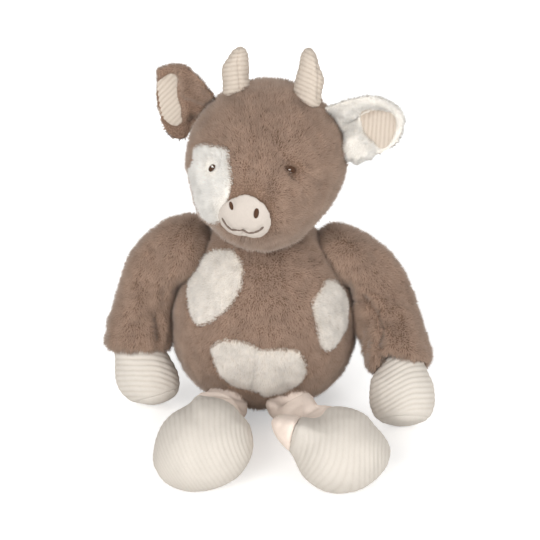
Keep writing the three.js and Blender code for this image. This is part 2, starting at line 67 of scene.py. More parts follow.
# %% [markdown]
# ## The camera
# The camera comes first, because the small stitches are placed by where they lie in the picture.
# Its height, distance and lens were worked out from the seat, the feet and the corduroy's ribs.

# %% Camera
picture_width = 540
sensor_width = 36
lens = 137.25
camera_tilt = math.radians(25)
camera_place = Vector((4, -1257, 680)) * mm
focal_pixels = lens / sensor_width * picture_width

camera_data = bpy.data.cameras.new("portrait_camera")
camera_data.sensor_width = sensor_width
camera_data.lens = lens
camera_data.clip_end = 50
camera = bpy.data.objects.new("portrait_camera", camera_data)
camera.location = camera_place
camera.rotation_euler = (math.pi / 2 - camera_tilt, 0, 0)
bpy.context.scene.collection.objects.link(camera)
bpy.context.scene.camera = camera
bpy.context.view_layer.update()


def sight_line(pixel):
    """The way from the camera through a pixel of the picture."""
    middle = picture_width / 2
    way = Vector((pixel[0] - middle, middle - pixel[1], -focal_pixels))
    return (camera.matrix_world.to_3x3() @ way).normalized()


# %% [markdown]
# ## Helpers that turn a plain solid into a soft form
# A solid from the frame is loose triangles, so its copy is merged first. A voxel remesh then gives
# even faces, and smoothing rubs the facets away.

# %% New objects and their modifiers
def new_object(name, bm):
    """Puts what a bmesh holds into the scene as an object."""
    mesh = bpy.data.meshes.new(name)
    bm.to_mesh(mesh)
    bm.free()
    mesh.shade_smooth()
    obj = bpy.data.objects.new(name, mesh)
    bpy.context.scene.collection.objects.link(obj)
    return obj


def solid_copy(*nodes):
    """A bmesh of one or more solids of the frame, with their loose triangles merged."""
    bm = bmesh.new()
    for node in nodes:
        bm.from_mesh(frame["nodes"][node].data)
    bmesh.ops.remove_doubles(bm, verts=bm.verts, dist=0.01 * mm)
    return bm


def finished(obj):
    """The object with its modifiers applied to its mesh."""
    graph = bpy.context.evaluated_depsgraph_get()
    mesh = bpy.data.meshes.new_from_object(obj.evaluated_get(graph), depsgraph=graph)
    old = obj.data
    obj.modifiers.clear()
    obj.data = mesh
    bpy.data.meshes.remove(old)
    return obj


def remeshed(obj, voxel):
    remesh = obj.modifiers.new("even_faces", "REMESH")
    remesh.mode = "VOXEL"
    remesh.voxel_size = voxel
    remesh.use_smooth_shade = True
    return finished(obj)


def subdivided(obj):
    finer = obj.modifiers.new("finer", "SUBSURF")
    finer.levels = finer.render_levels = 1
    return finished(obj)


def smoothed(obj, times):
    bm = bmesh.new()
    bm.from_mesh(obj.data)
    for _ in range(times):
        bmesh.ops.smooth_vert(
            bm, verts=bm.verts, factor=0.5, use_axis_x=True, use_axis_y=True, use_axis_z=True
        )
    bm.to_mesh(obj.data)
    bm.free()
    return obj


# %% Moving and marking points
def places_of(obj):
    places = np.zeros(len(obj.data.vertices) * 3)
    obj.data.vertices.foreach_get("co", places)
    return places.reshape(-1, 3)


def place_points(obj, places):
    obj.data.vertices.foreach_set("co", places.ravel())
    obj.data.update()
    return obj


def normals_of(obj):
    normals = np.zeros(len(obj.data.vertices) * 3)
    obj.data.vertex_normals.foreach_get("vector", normals)
    return normals.reshape(-1, 3)


def raised(obj, heights):
    """Moves each point along its normal by a height, or by its own height."""
    return place_points(obj, places_of(obj) + normals_of(obj) * np.reshape(heights, (-1, 1)))


def kept_above(obj, height):
    """Lifts the points that lie lower than a height, so that no cloth goes through the floor."""
    places = places_of(obj)
    places[:, 2] = np.maximum(places[:, 2], height)
    return place_points(obj, places)


def mark(obj, name, values):
    """Stores one number for each point."""
    layer = obj.data.attributes.get(name) or obj.data.attributes.new(name, "FLOAT", "POINT")
    wide = np.broadcast_to(values, len(obj.data.vertices))
    layer.data.foreach_set("value", wide.astype(np.float32))


# %% Distances, noise and places in the frame
def middle_of(node):
    """The middle of a solid's box."""
    return sum((Vector(corner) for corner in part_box(node)), Vector()) / 2


def hinge_place(name):
    joints = frame["record"]["behaviour"]["joints"]
    return Vector(next(joint["pos_m"] for joint in joints if joint["name"] == name))


def tree_of(*nodes):
    bm = solid_copy(*nodes)
    tree = BVHTree.FromBMesh(bm)
    bm.free()
    return tree


def tree_from(obj):
    bm = bmesh.new()
    bm.from_mesh(obj.data)
    tree = BVHTree.FromBMesh(bm)
    bm.free()
    return tree


def gaps_to(tree, places):
    """How far each place is from a form."""
    return np.array([tree.find_nearest(Vector(p))[3] for p in places])


def ease(share):
    """A soft step from 0 to 1."""
    share = np.clip(share, 0, 1)
    return share * share * (3 - 2 * share)


def ripple(places, scale, seed):
    """Soft noise between about -1 and 1 at each place."""
    shift = Vector((seed, -seed, seed / 2))
    return np.array([noise.noise(Vector(p) * scale + shift) for p in places])


# %% Soft copies of the frame's solids
def soft_copy(name, nodes, voxel, times, swell):
    """A smooth copy of solids from the frame, raised afterwards by swell."""
    obj = remeshed(new_object(name, solid_copy(*nodes)), voxel)
    return raised(smoothed(obj, times), swell)


def egg_form(name, nodes, voxel, times, reach, swell):
    """A soft copy of a skin that has sockets cut in it. A hull closes them, and then the form goes
    back to the skin wherever that is within reach."""
    bm = solid_copy(*nodes)
    hull = bmesh.ops.convex_hull(bm, input=bm.verts)
    inside = [g for g in hull["geom_interior"] if isinstance(g, bmesh.types.BMVert)]
    outside = {g for g in hull["geom"] if isinstance(g, bmesh.types.BMFace)}
    bmesh.ops.delete(bm, geom=[f for f in bm.faces if f not in outside], context="FACES")
    bmesh.ops.delete(bm, geom=[v for v in inside if v.is_valid], context="VERTS")
    obj = remeshed(new_object(name, bm), voxel)
    tree = tree_of(*nodes)
    places = places_of(obj)
    for i, place in enumerate(places):
        near, _, _, gap = tree.find_nearest(Vector(place))
        if gap < reach:
            places[i] = near
    place_points(obj, places)
    return raised(smoothed(obj, times), swell)


# %% [markdown]
# ## Shaping by what the picture shows
# Folds, seams and patches have their places in the picture. Each point of a form is therefore
# projected into the picture, and a fold is pressed in or raised along a line of pixels. Only the
# side that faces the camera takes part, so a fold never comes through at the back.

# %% Pixels of points
def pixels_of(places):
    """Where places in the scene lie in the picture."""
    turn = np.array(camera.matrix_world.to_3x3().transposed())
    seen = (places - np.array(camera_place)) @ turn.T
    middle = picture_width / 2
    across = middle + focal_pixels * seen[:, 0] / -seen[:, 2]
    down = middle - focal_pixels * seen[:, 1] / -seen[:, 2]
    return np.column_stack((across, down))


def within(outline, pixels):
    """True for each pixel inside a closed outline."""
    x, y = pixels[:, 0], pixels[:, 1]
    inside = np.zeros(len(pixels), bool)
    for (ax, ay), (bx, by) in zip(outline, outline[1:] + outline[:1]):
        crosses = (ay > y) != (by > y)
        inside ^= crosses & (x < ax + (bx - ax) * (y - ay) / (by - ay + 1e-9))
    return inside


def to_line(line, pixels):
    """How far each pixel is from a line through points."""
    nearest = np.full(len(pixels), np.inf)
    for a, b in zip(np.array(line[:-1], float), np.array(line[1:], float)):
        share = np.clip((pixels - a) @ (b - a) / ((b - a) @ (b - a)), 0, 1)
        nearest = np.minimum(nearest, np.linalg.norm(pixels - a - np.outer(share, b - a), axis=1))
    return nearest


def facing_share(obj):
    """From 0 at the outline to 1 where the cloth looks at the camera."""
    toward = np.array(camera_place) - places_of(obj)
    toward /= np.linalg.norm(toward, axis=1)[:, None]
    return ease((normals_of(obj) * toward).sum(axis=1) / 0.35)


def faces_of(form):
    """The middle of each face, and how far it looks at the camera, from -1 to 1."""
    faces = form.data.polygons
    centres = np.array([f.center for f in faces])
    toward = np.array([f.normal.dot((camera_place - f.center).normalized()) for f in faces])
    return centres, toward


# %% Folds, bulges and outlines
def folded(obj, *folds):
    """Each fold is a line of pixels, a height that is below 0 for a crease, and a width in pixels."""
    heights = np.zeros(len(obj.data.vertices))
    pixels = pixels_of(places_of(obj))
    for line, height, width in folds:
        heights += height * np.exp(-((to_line(line, pixels) / width) ** 2))
    return raised(obj, heights * facing_share(obj))


def bulged(obj, outline, height, edge):
    """Raises what lies inside an outline, with a soft edge that is some pixels wide."""
    pixels = pixels_of(places_of(obj))
    inside = within(outline, pixels)
    rise = ease(to_line(outline + outline[:1], pixels) / edge) * inside
    return raised(obj, height * rise * facing_share(obj))


def fitted(obj, line, inset=0.0, part=1.0, sectors=60, widest_gap=8):
    """Draws a form in or out across the line of sight, until its outline follows a line of pixels.
    The outline is compared in sectors round its centre. A small gap in the line is bridged, and
    where a wider one is the form stays. inset leaves room for the pile, in pixels, and part gives
    how far each point takes part."""
    places = places_of(obj)
    pixels = pixels_of(places)
    part = np.broadcast_to(part, len(places))
    taking = pixels[part > 0.5]
    centre = (taking.min(axis=0) + taking.max(axis=0)) / 2
    ends = zip(np.array(line[:-1], float), np.array(line[1:], float))
    steps = np.linspace(0, 1, 12)[:, None]
    wanted = np.vstack([a + (b - a) * steps for a, b in ends]) - centre
    away = pixels - centre

    def sector_of(offsets):
        turn = np.arctan2(offsets[:, 1], offsets[:, 0]) / (2 * math.pi) % 1
        return turn, (turn * sectors).astype(int) % sectors

    turn, own = sector_of(away)
    own[part <= 0.5] = -1
    _, asked = sector_of(wanted)
    stretch = np.ones(sectors)
    known = sorted(set(asked) & set(own))
    for k in known:
        now = np.linalg.norm(away[own == k], axis=1).max()
        stretch[k] = (np.linalg.norm(wanted[asked == k], axis=1).mean() - inset) / now
    for k, after in zip(known, known[1:] + [known[0] + sectors]):
        if after - k <= widest_gap:
            for j in range(k + 1, after):
                step = (j - k) / (after - k)
                stretch[j % sectors] = stretch[k] * (1 - step) + stretch[after % sectors] * step
    for _ in range(2):
        stretch = (np.roll(stretch, 1) + 2 * stretch + np.roll(stretch, -1)) / 4
    share = part * (np.interp(turn, (np.arange(sectors) + 0.5) / sectors, stretch, period=1) - 1)
    axes = np.array(camera.matrix_world.to_3x3())
    depth = (places - np.array(camera_place)) @ -axes[:, 2]
    shift = away * (share * depth / focal_pixels)[:, None]
    return place_points(obj, places + shift[:, :1] * axes[:, 0] - shift[:, 1:] * axes[:, 1])


def seen_on(tree, pixel):
    """The point of a form that a pixel shows, and the way out of the form there."""
    place, normal, _, _ = tree.ray_cast(camera_place, sight_line(pixel))
    return place, normal


# %% [markdown]
# ## Node trees in code
# Pile and finishes are built from nodes, as in Blender's editors. Adding each node and each link on
# a line of its own would take hundreds of lines. So one helper adds a node with its settings, and
# takes its inputs as values or as the sockets they are linked to.

# %% A helper for node trees
def node(tree, kind, given=None, **settings):
    """Adds a node. Its inputs are given by name or number, as values or as other nodes' sockets."""
    made = tree.nodes.new(kind)
    for name, value in settings.items():
        setattr(made, name, value)
    for key, value in (given or {}).items():
        if isinstance(value, bpy.types.NodeSocket):
            tree.links.new(value, made.inputs[key])
        else:
            made.inputs[key].default_value = value
    return made


# %% [markdown]
# ## Plush pile
# Plush is a knitted backing with fine fibres that stand up close together. A bump texture would
# leave the outline as smooth as plastic, so small tufts of real pointed fibres are planted on the
# cloth. A tuft is repeated many thousand times, so each of its fibres has only four faces.

# %% One tuft of pile
def pile_tuft(name, length, root, spread, fibres=7, lean=math.radians(30)):
    """Pointed fibres round a spiral. root is a fibre's radius, and spread the radius of the tuft."""
    chance = random.Random(5)
    bm = bmesh.new()
    tip = bm.verts.layers.float.new("tip")
    for k in range(fibres):
        before = set(bm.verts)
        turn = 2 * math.pi * (k + chance.uniform(-0.3, 0.3)) / fibres
        out = spread * math.sqrt((k + 0.5) / fibres)
        root_place = Vector((math.cos(turn * 2.4), math.sin(turn * 2.4), 0)) * out
        high = length * chance.uniform(0.7, 1.0)
        own_lean = lean * chance.uniform(0.2, 1)
        tilt = Matrix.Rotation(turn, 4, "Z") @ Matrix.Rotation(own_lean, 4, "Y")
        bmesh.ops.create_cone(
            bm, cap_ends=True, segments=3, radius1=root, radius2=0, depth=high,
            matrix=Matrix.Translation(root_place) @ tilt @ Matrix.Translation((0, 0, high / 2)),
        )
        for point in [v for v in bm.verts if v not in before]:
            point[tip] = float(point.co.z > length * 0.4)
    tuft = new_object(name, bm)
    bpy.context.scene.collection.objects.unlink(tuft)
    print(name, "has", len(tuft.data.polygons), "faces")
    return tuft


fur_tuft = pile_tuft("fur_tuft", length=5.2 * mm, root=0.4 * mm, spread=1.0 * mm)
short_tuft = pile_tuft("short_tuft", length=3.8 * mm, root=0.34 * mm, spread=0.85 * mm)


# %% [markdown]
# ### Planting the tufts
# The pile could be a hair system, but hair is no mesh, and each piece has to end as one. Geometry
# nodes scatter points on the cloth instead and put a tuft on each. It leans along the nap, and a
# noise field ruffles the tufts into curls. A tuft's own faces look every way, which would make the
# fur sparkle. So each face takes most of its normal from the cloth below it.

# %% Two small node helpers
def named(tree, name, kind):
    return node(tree, "GeometryNodeInputNamedAttribute", {"Name": name}, data_type=kind).outputs[0]


def vector_math(tree, operation, *given, scale=None):
    inputs = dict(enumerate(given))
    if scale is not None:
        inputs["Scale"] = scale
    return node(tree, "ShaderNodeVectorMath", inputs, operation=operation).outputs[0]


# %% The node tree that plants the pile
def pile_tree():
    tree = bpy.data.node_groups.new("plush_pile", "GeometryNodeTree")
    sockets = {
        "Cloth": "Geometry", "Tuft": "Object", "Spacing": "Float", "Unrest": "Float",
        "Softness": "Float", "Seed": "Int",
    }
    for name, kind in sockets.items():
        tree.interface.new_socket(name=name, in_out="INPUT", socket_type="NodeSocket" + kind)
    tree.interface.new_socket(name="Cloth", in_out="OUTPUT", socket_type="NodeSocketGeometry")
    given = node(tree, "NodeGroupInput").outputs

    height = named(tree, "pile", "FLOAT")
    planted = node(tree, "FunctionNodeCompare", {0: height, 1: 0.05}, operation="GREATER_THAN")
    points = node(
        tree, "GeometryNodeDistributePointsOnFaces",
        {
            "Mesh": given["Cloth"], "Selection": planted.outputs[0], "Distance Min": given["Spacing"],
            "Density Max": 1e7, "Seed": given["Seed"],
        },
        distribute_method="POISSON",
    )

    here = node(tree, "GeometryNodeInputPosition").outputs[0]
    waves = node(tree, "ShaderNodeTexNoise", {"Vector": here, "Scale": 130, "Detail": 2})
    centred = vector_math(tree, "SUBTRACT", waves.outputs["Color"], (0.5, 0.5, 0.5))
    ruffle = vector_math(tree, "SCALE", centred, scale=given["Unrest"])
    blown = vector_math(tree, "ADD", ruffle, named(tree, "nap", "FLOAT_VECTOR"))
    way = vector_math(tree, "ADD", points.outputs["Normal"], blown)
    stand = node(tree, "FunctionNodeAlignRotationToVector", {"Vector": way}, axis="Z")
    spin = node(tree, "FunctionNodeRandomValue", {2: 0, 3: 6.28, "Seed": given["Seed"]})
    spun = node(tree, "ShaderNodeCombineXYZ", {"Z": spin.outputs[1]})
    euler = node(tree, "FunctionNodeEulerToRotation", {0: spun.outputs[0]})
    turned = node(
        tree, "FunctionNodeRotateRotation",
        {"Rotation": stand.outputs[0], "Rotate By": euler.outputs[0]},
        rotation_space="LOCAL",
    )

    size = node(tree, "FunctionNodeRandomValue", {2: 0.8, 3: 1.1, "Seed": given["Seed"]})
    sized = node(tree, "ShaderNodeMath", {0: size.outputs[1], 1: height}, operation="MULTIPLY")
    tuft = node(tree, "GeometryNodeObjectInfo", {"Object": given["Tuft"]})
    tufts = node(
        tree, "GeometryNodeInstanceOnPoints",
        {
            "Points": points.outputs["Points"], "Instance": tuft.outputs["Geometry"],
            "Rotation": turned.outputs[0], "Scale": sized.outputs[0],
        },
    )
    shade = node(tree, "FunctionNodeRandomValue", {"Seed": 7})
    shaded = node(
        tree, "GeometryNodeStoreNamedAttribute",
        {"Geometry": tufts.outputs[0], "Name": "shade", "Value": shade.outputs[1]},
        data_type="FLOAT", domain="INSTANCE",
    )
    facing = node(
        tree, "GeometryNodeStoreNamedAttribute",
        {"Geometry": shaded.outputs[0], "Name": "facing", "Value": points.outputs["Normal"]},
        data_type="FLOAT_VECTOR", domain="INSTANCE",
    )
    real = node(tree, "GeometryNodeRealizeInstances", {0: facing.outputs[0]})
    own = node(tree, "GeometryNodeInputNormal").outputs[0]
    backing = node(
        tree, "GeometryNodeStoreNamedAttribute",
        {"Geometry": given["Cloth"], "Name": "facing", "Value": own},
        data_type="FLOAT_VECTOR", domain="POINT",
    )
    both = node(tree, "GeometryNodeJoinGeometry", {0: backing.outputs[0]})
    tree.links.new(real.outputs[0], both.inputs[0])
    soft = vector_math(tree, "SCALE", named(tree, "facing", "FLOAT_VECTOR"), scale=given["Softness"])
    mixed = vector_math(tree, "NORMALIZE", vector_math(tree, "ADD", own, soft))
    lit = node(tree, "GeometryNodeSetMeshNormal", mode="FREE", domain="POINT")
    tree.links.new(both.outputs[0], lit.inputs["Mesh"])
    tree.links.new(mixed, lit.inputs["Custom Normal"])
    node(tree, "NodeGroupOutput", {0: lit.outputs[0]})
    return tree


plush_pile = pile_tree()
print("plush_pile has", len(plush_pile.nodes), "nodes")


# %% Planting pile on a cloth
def furred(obj, tuft, spacing, naps, unrest=2.2, softness=3.5, seed=3, floor_at=None):
    """Plants pile on a cloth. Its length follows the cloth's pile mark, and it leans along naps.
    unrest is how far the curls ruffle it, and softness how much the cloth's normals shade it."""
    layer = obj.data.attributes.new("nap", "FLOAT_VECTOR", "POINT")
    wide = np.broadcast_to(naps, (len(obj.data.vertices), 3)).astype(np.float32)
    layer.data.foreach_set("vector", wide.ravel())
    modifier = obj.modifiers.new("pile", "NODES")
    modifier.node_group = plush_pile
    values = {
        "Tuft": tuft, "Spacing": spacing, "Unrest": unrest, "Softness": softness, "Seed": seed,
    }
    for item in plush_pile.interface.items_tree:
        if item.in_out == "INPUT" and item.name in values:
            modifier[item.identifier] = values[item.name]
    cloth_faces = len(obj.data.polygons)
    finished(obj)
    if floor_at is not None:
        kept_above(obj, floor_at)
    for spare in ("nap", "facing", "pile"):
        obj.data.attributes.remove(obj.data.attributes[spare])
    print(obj.name, "cloth", cloth_faces, "faces, with pile", len(obj.data.polygons))
    return obj


# %% [markdown]
# ## Finishes
# Colours are the cloths' own. The pile's colour runs from a shaded root to a lit tip, which is
# stored on each lock, so one shader group can serve the brown, cream and white plush.

# %% Helpers for shaders
def emptied(owner):
    """The node tree of a material or world, without the nodes that it starts with."""
    owner.use_nodes = True
    owner.node_tree.nodes.clear()
    return owner.node_tree


def shader_group(name, inputs, outputs):
    """A new group with named sockets, and what its inputs give."""
    tree = bpy.data.node_groups.new(name, "ShaderNodeTree")
    for socket, kind in inputs.items():
        tree.interface.new_socket(name=socket, in_out="INPUT", socket_type="NodeSocket" + kind)
    for socket, kind in outputs.items():
        tree.interface.new_socket(name=socket, in_out="OUTPUT", socket_type="NodeSocket" + kind)
    return tree, node(tree, "NodeGroupInput").outputs


def blended(tree, share, first, second, kind="MIX"):
    """Mixes two colours by a share."""
    mixed = node(
        tree, "ShaderNodeMix", {0: share, 6: first, 7: second}, data_type="RGBA", blend_type=kind
    )
    return mixed.outputs[2]


def between(tree, value, low, high, to_low=0.0, to_high=1.0):
    """Spreads a value's range out to another."""
    spread = node(
        tree, "ShaderNodeMapRange",
        {"Value": value, "From Min": low, "From Max": high, "To Min": to_low, "To Max": to_high},
    )
    return spread.outputs[0]


def toned_by(tree, colour, first, second):
    """A colour made lighter or darker by two values."""
    tone = node(tree, "ShaderNodeMath", {0: first, 1: second}, operation="MULTIPLY").outputs[0]
    scaled = {0: colour, "Scale": tone}
    return node(tree, "ShaderNodeVectorMath", scaled, operation="SCALE").outputs[0]


def srgb(red, green, blue):
    """A colour as a picture shows it, in the linear values that shaders take."""
    shares = [c / 255 for c in (red, green, blue)]
    return tuple(c / 12.92 if c <= 0.04045 else ((c + 0.055) / 1.055) ** 2.4 for c in shares) + (1,)


# %% Shader group for pile
def pile_colour_group():
    tree, given = shader_group(
        "pile_colour", {"Root": "Color", "Middle": "Color", "Tip": "Color"}, {"Color": "Color"}
    )
    tip = node(tree, "ShaderNodeAttribute", attribute_name="tip").outputs["Fac"]
    shade = node(tree, "ShaderNodeAttribute", attribute_name="shade").outputs["Fac"]
    coordinates = node(tree, "ShaderNodeTexCoord").outputs["Object"]
    cloud = node(tree, "ShaderNodeTexNoise", {"Vector": coordinates, "Scale": 90, "Detail": 3})
    lower = blended(tree, between(tree, tip, 0.0, 0.4), given["Root"], given["Middle"])
    whole = blended(tree, between(tree, tip, 0.4, 1.0), lower, given["Tip"])
    of_tuft = between(tree, shade, 0, 1, 0.93, 1.06)
    of_cloud = between(tree, cloud.outputs[0], 0.3, 0.7, 0.87, 1.1)
    node(tree, "NodeGroupOutput", {0: toned_by(tree, whole, of_tuft, of_cloud)})
    return tree


pile_colour = pile_colour_group()


# %% Plush materials
def cloth_material(name, sheen, sheen_roughness):
    """A dull cloth that has a soft sheen, with its tree and its shader."""
    material = bpy.data.materials.new(name)
    tree = emptied(material)
    cloth = node(
        tree, "ShaderNodeBsdfPrincipled",
        {
            "Roughness": 0.9, "Sheen Weight": sheen, "Sheen Roughness": sheen_roughness,
            "Sheen Tint": (1, 0.93, 0.86, 1), "Specular IOR Level": 0.1,
        },
    )
    node(tree, "ShaderNodeOutputMaterial", {0: cloth.outputs[0]})
    return material, tree, cloth


def pile_material(name, root, middle, tip):
    material, tree, cloth = cloth_material(name, sheen=0.3, sheen_roughness=0.5)
    colours = {"Root": root, "Middle": middle, "Tip": tip}
    colour = node(tree, "ShaderNodeGroup", colours, node_tree=pile_colour)
    tree.links.new(colour.outputs[0], cloth.inputs["Base Color"])
    return material


brown_pile = pile_material("brown_pile", srgb(133, 108, 91), srgb(166, 139, 121), srgb(187, 161, 143))
cream_pile = pile_material("cream_pile", srgb(232, 222, 209), srgb(244, 236, 226), srgb(249, 244, 237))
white_pile = pile_material("white_pile", srgb(238, 232, 223), srgb(247, 243, 236), srgb(251, 249, 245))


# %% [markdown]
# ### Corduroy and velour
# Corduroy's ribs are modelled in the mesh, which marks each point as groove or ridge. The shader
# paints shade into the grooves with a darker colour, and adds the cut fibres on the ridges. Velour
# has the same short fibres with no ribs, so both use one nap group.

# %% Shader group for a short nap
def nap_group():
    tree, given = shader_group(
        "short_nap", {"Color": "Color", "Fineness": "Float", "Depth": "Float"},
        {"Color": "Color", "Normal": "Vector"},
    )
    coordinates = node(tree, "ShaderNodeTexCoord").outputs["Object"]
    fibres = node(
        tree, "ShaderNodeTexNoise",
        {"Vector": coordinates, "Scale": given["Fineness"], "Detail": 4, "Roughness": 0.7},
    )
    clouds = node(tree, "ShaderNodeTexNoise", {"Vector": coordinates, "Scale": 60, "Detail": 2})
    of_fibres = between(tree, fibres.outputs[0], 0.25, 0.75, 0.93, 1.04)
    of_clouds = between(tree, clouds.outputs[0], 0.3, 0.7, 0.96, 1.02)
    toned = toned_by(tree, given["Color"], of_fibres, of_clouds)
    bump = node(
        tree, "ShaderNodeBump",
        {"Height": fibres.outputs[0], "Strength": 0.5, "Distance": given["Depth"]},
    )
    node(tree, "NodeGroupOutput", {0: toned, 1: bump.outputs[0]})
    return tree


short_nap = nap_group()


# %% Corduroy, velour, filling and thread
def napped(name, colour, fineness, depth, sheen=0.1, groove_shade=None):
    """A cloth with a short nap. A groove colour, which is painted shade in the grooves, makes it
    corduroy, whose mesh marks the ribs.
    """
    material, tree, cloth = cloth_material(name, sheen, sheen_roughness=0.4)
    if groove_shade is not None:
        # The groove colour is painted shade: the ridge mark mixes the cloth toward it in the grooves.
        ridge = node(tree, "ShaderNodeAttribute", attribute_name="ridge").outputs["Fac"]
        colour = blended(tree, ridge, groove_shade, colour)
    look = {"Color": colour, "Fineness": fineness, "Depth": depth}
    nap = node(tree, "ShaderNodeGroup", look, node_tree=short_nap)
    tree.links.new(nap.outputs["Color"], cloth.inputs["Base Color"])
    tree.links.new(nap.outputs["Normal"], cloth.inputs["Normal"])
    return material


def corduroy_material(name, ridge, groove_shade):
    return napped(name, srgb(*ridge), fineness=1500, depth=0.25 * mm, groove_shade=srgb(*groove_shade))


def velour_material(name, red, green, blue):
    return napped(name, srgb(red, green, blue), fineness=1100, depth=0.2 * mm)


def thread_material(name, red, green, blue):
    return napped(name, srgb(red, green, blue), fineness=2500, depth=0.1 * mm)


# The second colour of each corduroy is painted shade in its grooves.
corduroy = corduroy_material("corduroy", (215, 208, 199), (204, 195, 184))
# The feet's corduroy is a darker copy of the hands': painted shade against the stronger light on the
# feet.
foot_corduroy = corduroy_material("foot_corduroy", (205, 198, 189), (195, 187, 177))
# The horns' and linings' corduroy is darker: painted shade that falls on the horns and inside the
# ears.
thin_corduroy = corduroy_material("thin_corduroy", (200, 188, 175), (180, 166, 152))
muzzle_velour = velour_material("muzzle_velour", 197, 187, 178)
leg_velour = velour_material("leg_velour", 234, 218, 206)
fibre_filling = napped(
    "fibre_filling", srgb(246, 244, 238), fineness=500, depth=0.8 * mm, sheen=0.2
)
bag_cloth = napped("bag_cloth", srgb(232, 230, 224), fineness=900, depth=0.3 * mm)
brown_thread = thread_material("brown_thread", 84, 60, 46)
grey_thread = thread_material("grey_thread", 118, 104, 95)
white_thread = thread_material("white_thread", 240, 238, 234)
print("materials:", ", ".join(material.name for material in bpy.data.materials))


# %% Giving a piece its place in the toy
def dressed(obj, material, slot, body, *nodes, fill=None, bend=None):
    """Gives a piece its cloth, its body and the solids that it stands for. A piece with a bend gets
    no body: its place is baked into its mesh, and the bend's body and ends are not used."""
    obj.data.materials.clear()
    obj.data.materials.append(material)
    if bend is None:
        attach(obj, body)
    else:
        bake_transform(obj)
    if nodes:
        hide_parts(*nodes)
    return obj


# %% [markdown]
# ## The body
# The body is a firm egg of brown plush with three cream patches let into it. The patches could be
# painted on one cloth, but each is a cloth of its own with a shorter pile and a seam round it. So
# the egg is divided by the patches' outlines, and each part gets its own pile and backing.

# %% Dividing a form by outlines seen in the picture
def split(form, names, owner):
    """One object for each name. owner gives the name's number for each face."""
    pieces = []
    for i, name in enumerate(names):
        bm = bmesh.new()
        bm.from_mesh(form.data)
        bm.faces.ensure_lookup_table()
        rest = [face for face in bm.faces if owner[face.index] != i]
        bmesh.ops.delete(bm, geom=rest, context="FACES")
        pieces.append(new_object(name, bm))
    bpy.data.objects.remove(form)
    return pieces


def evened(obj, times=12):
    """Smooths the zigzag that the faces leave along a cut. Both cloths at a cut end up the same."""
    bm = bmesh.new()
    bm.from_mesh(obj.data)
    cut = [v for v in bm.verts if v.is_boundary]
    beside = [[e.other_vert(v) for e in v.link_edges if e.is_boundary] for v in cut]
    for _ in range(times):
        moved = {v: (v.co * 2 + a.co + b.co) / 4 for v, (a, b, *_) in zip(cut, beside)}
        for vert, place in moved.items():
            vert.co = place
    bm.to_mesh(obj.data)
    bm.free()
    return obj


def cut_cloths(form, skin, outlines, wrap=0.0):
    """One object for the skin and one for each patch, whose faces lie inside its outline. wrap
    lets a patch go round the form's outline, from 0 for none to 1."""
    centres, toward = faces_of(form)
    pixels = pixels_of(centres)
    owner = np.zeros(len(centres), int)
    for i, outline in enumerate(outlines.values()):
        owner[within(outline, pixels) & (toward > -wrap)] = i + 1
    names = [f"{name}_fur" for name in (skin, *outlines)]
    return [evened(piece) for piece in split(form, names, owner)]


# %% Finishing a cut cloth
def edge_gaps(obj):
    """How far each point is from the cloth's cut edge."""
    bm = bmesh.new()
    bm.from_mesh(obj.data)
    edge = np.array([v.co for v in bm.verts if v.is_boundary])
    bm.free()
    places = places_of(obj)
    return np.array([np.sqrt(((edge - p) ** 2).sum(axis=1).min()) for p in places])


def backed(obj, thickness=1.2 * mm):
    """Gives a cloth its backing, so that it is a closed sheet. The backing bears no pile."""
    bm = bmesh.new()
    bm.from_mesh(obj.data)
    pile = bm.verts.layers.float.get("pile")
    front = list(bm.faces)
    made = bmesh.ops.extrude_face_region(bm, geom=front, use_keep_orig=True)
    back = [v for v in made["geom"] if isinstance(v, bmesh.types.BMVert)]
    for vert in back:
        vert.co -= thickness * vert.normal
        if pile is not None:
            vert[pile] = 0
    bmesh.ops.recalc_face_normals(bm, faces=bm.faces)
    # The extrusion makes its side faces in another order each run, which would move some tufts.
    bm.faces.index_update()
    whole = 2 * len(front)
    sides = sorted(bm.faces[whole:], key=lambda side: side.calc_center_median()[:])
    for i, side in enumerate(sides):
        side.index = whole + i
    bm.faces.sort()
    bm.to_mesh(obj.data)
    bm.free()
    return obj


def lumped(obj, height, scale, seed):
    """Raises and lowers the cloth in soft lumps, longer along the height than across."""
    places = places_of(obj) * (1, 1, 0.6)
    lumps = 0.65 * ripple(places, scale, seed) + 0.35 * ripple(places, scale * 2.3, seed + 5)
    return raised(obj, height * lumps)


def inside_of(tree, places):
    """True for each place inside a closed solid."""
    found = [tree.find_nearest(Vector(p)) for p in places]
    return np.array([(Vector(p) - f[0]).dot(f[1]) < 0 for p, f in zip(places, found)])


def leaning(obj, away, amount):
    """A lean along the cloth, in a direction given for the whole cloth or for each point."""
    normals = normals_of(obj)
    away = np.broadcast_to(away, normals.shape)
    flat = away - normals * (away * normals).sum(axis=1)[:, None]
    size = np.linalg.norm(flat, axis=1)[:, None]
    return amount * flat / np.maximum(size, 0.35)


def piled(obj, pile, tuft, spacing, away=(0, 0, -1), lean=0.6, sheet=True, **kind):
    """Plants a pile whose length is given for the whole cloth or for each point, and which leans
    away. A sheet gets a backing first, and a closed form needs none."""
    mark(obj, "pile", pile)
    naps = leaning(obj, away, lean)
    if sheet:
        backed(obj)
        naps = np.vstack((naps, naps))
    return furred(obj, tuft, spacing, naps, **kind)


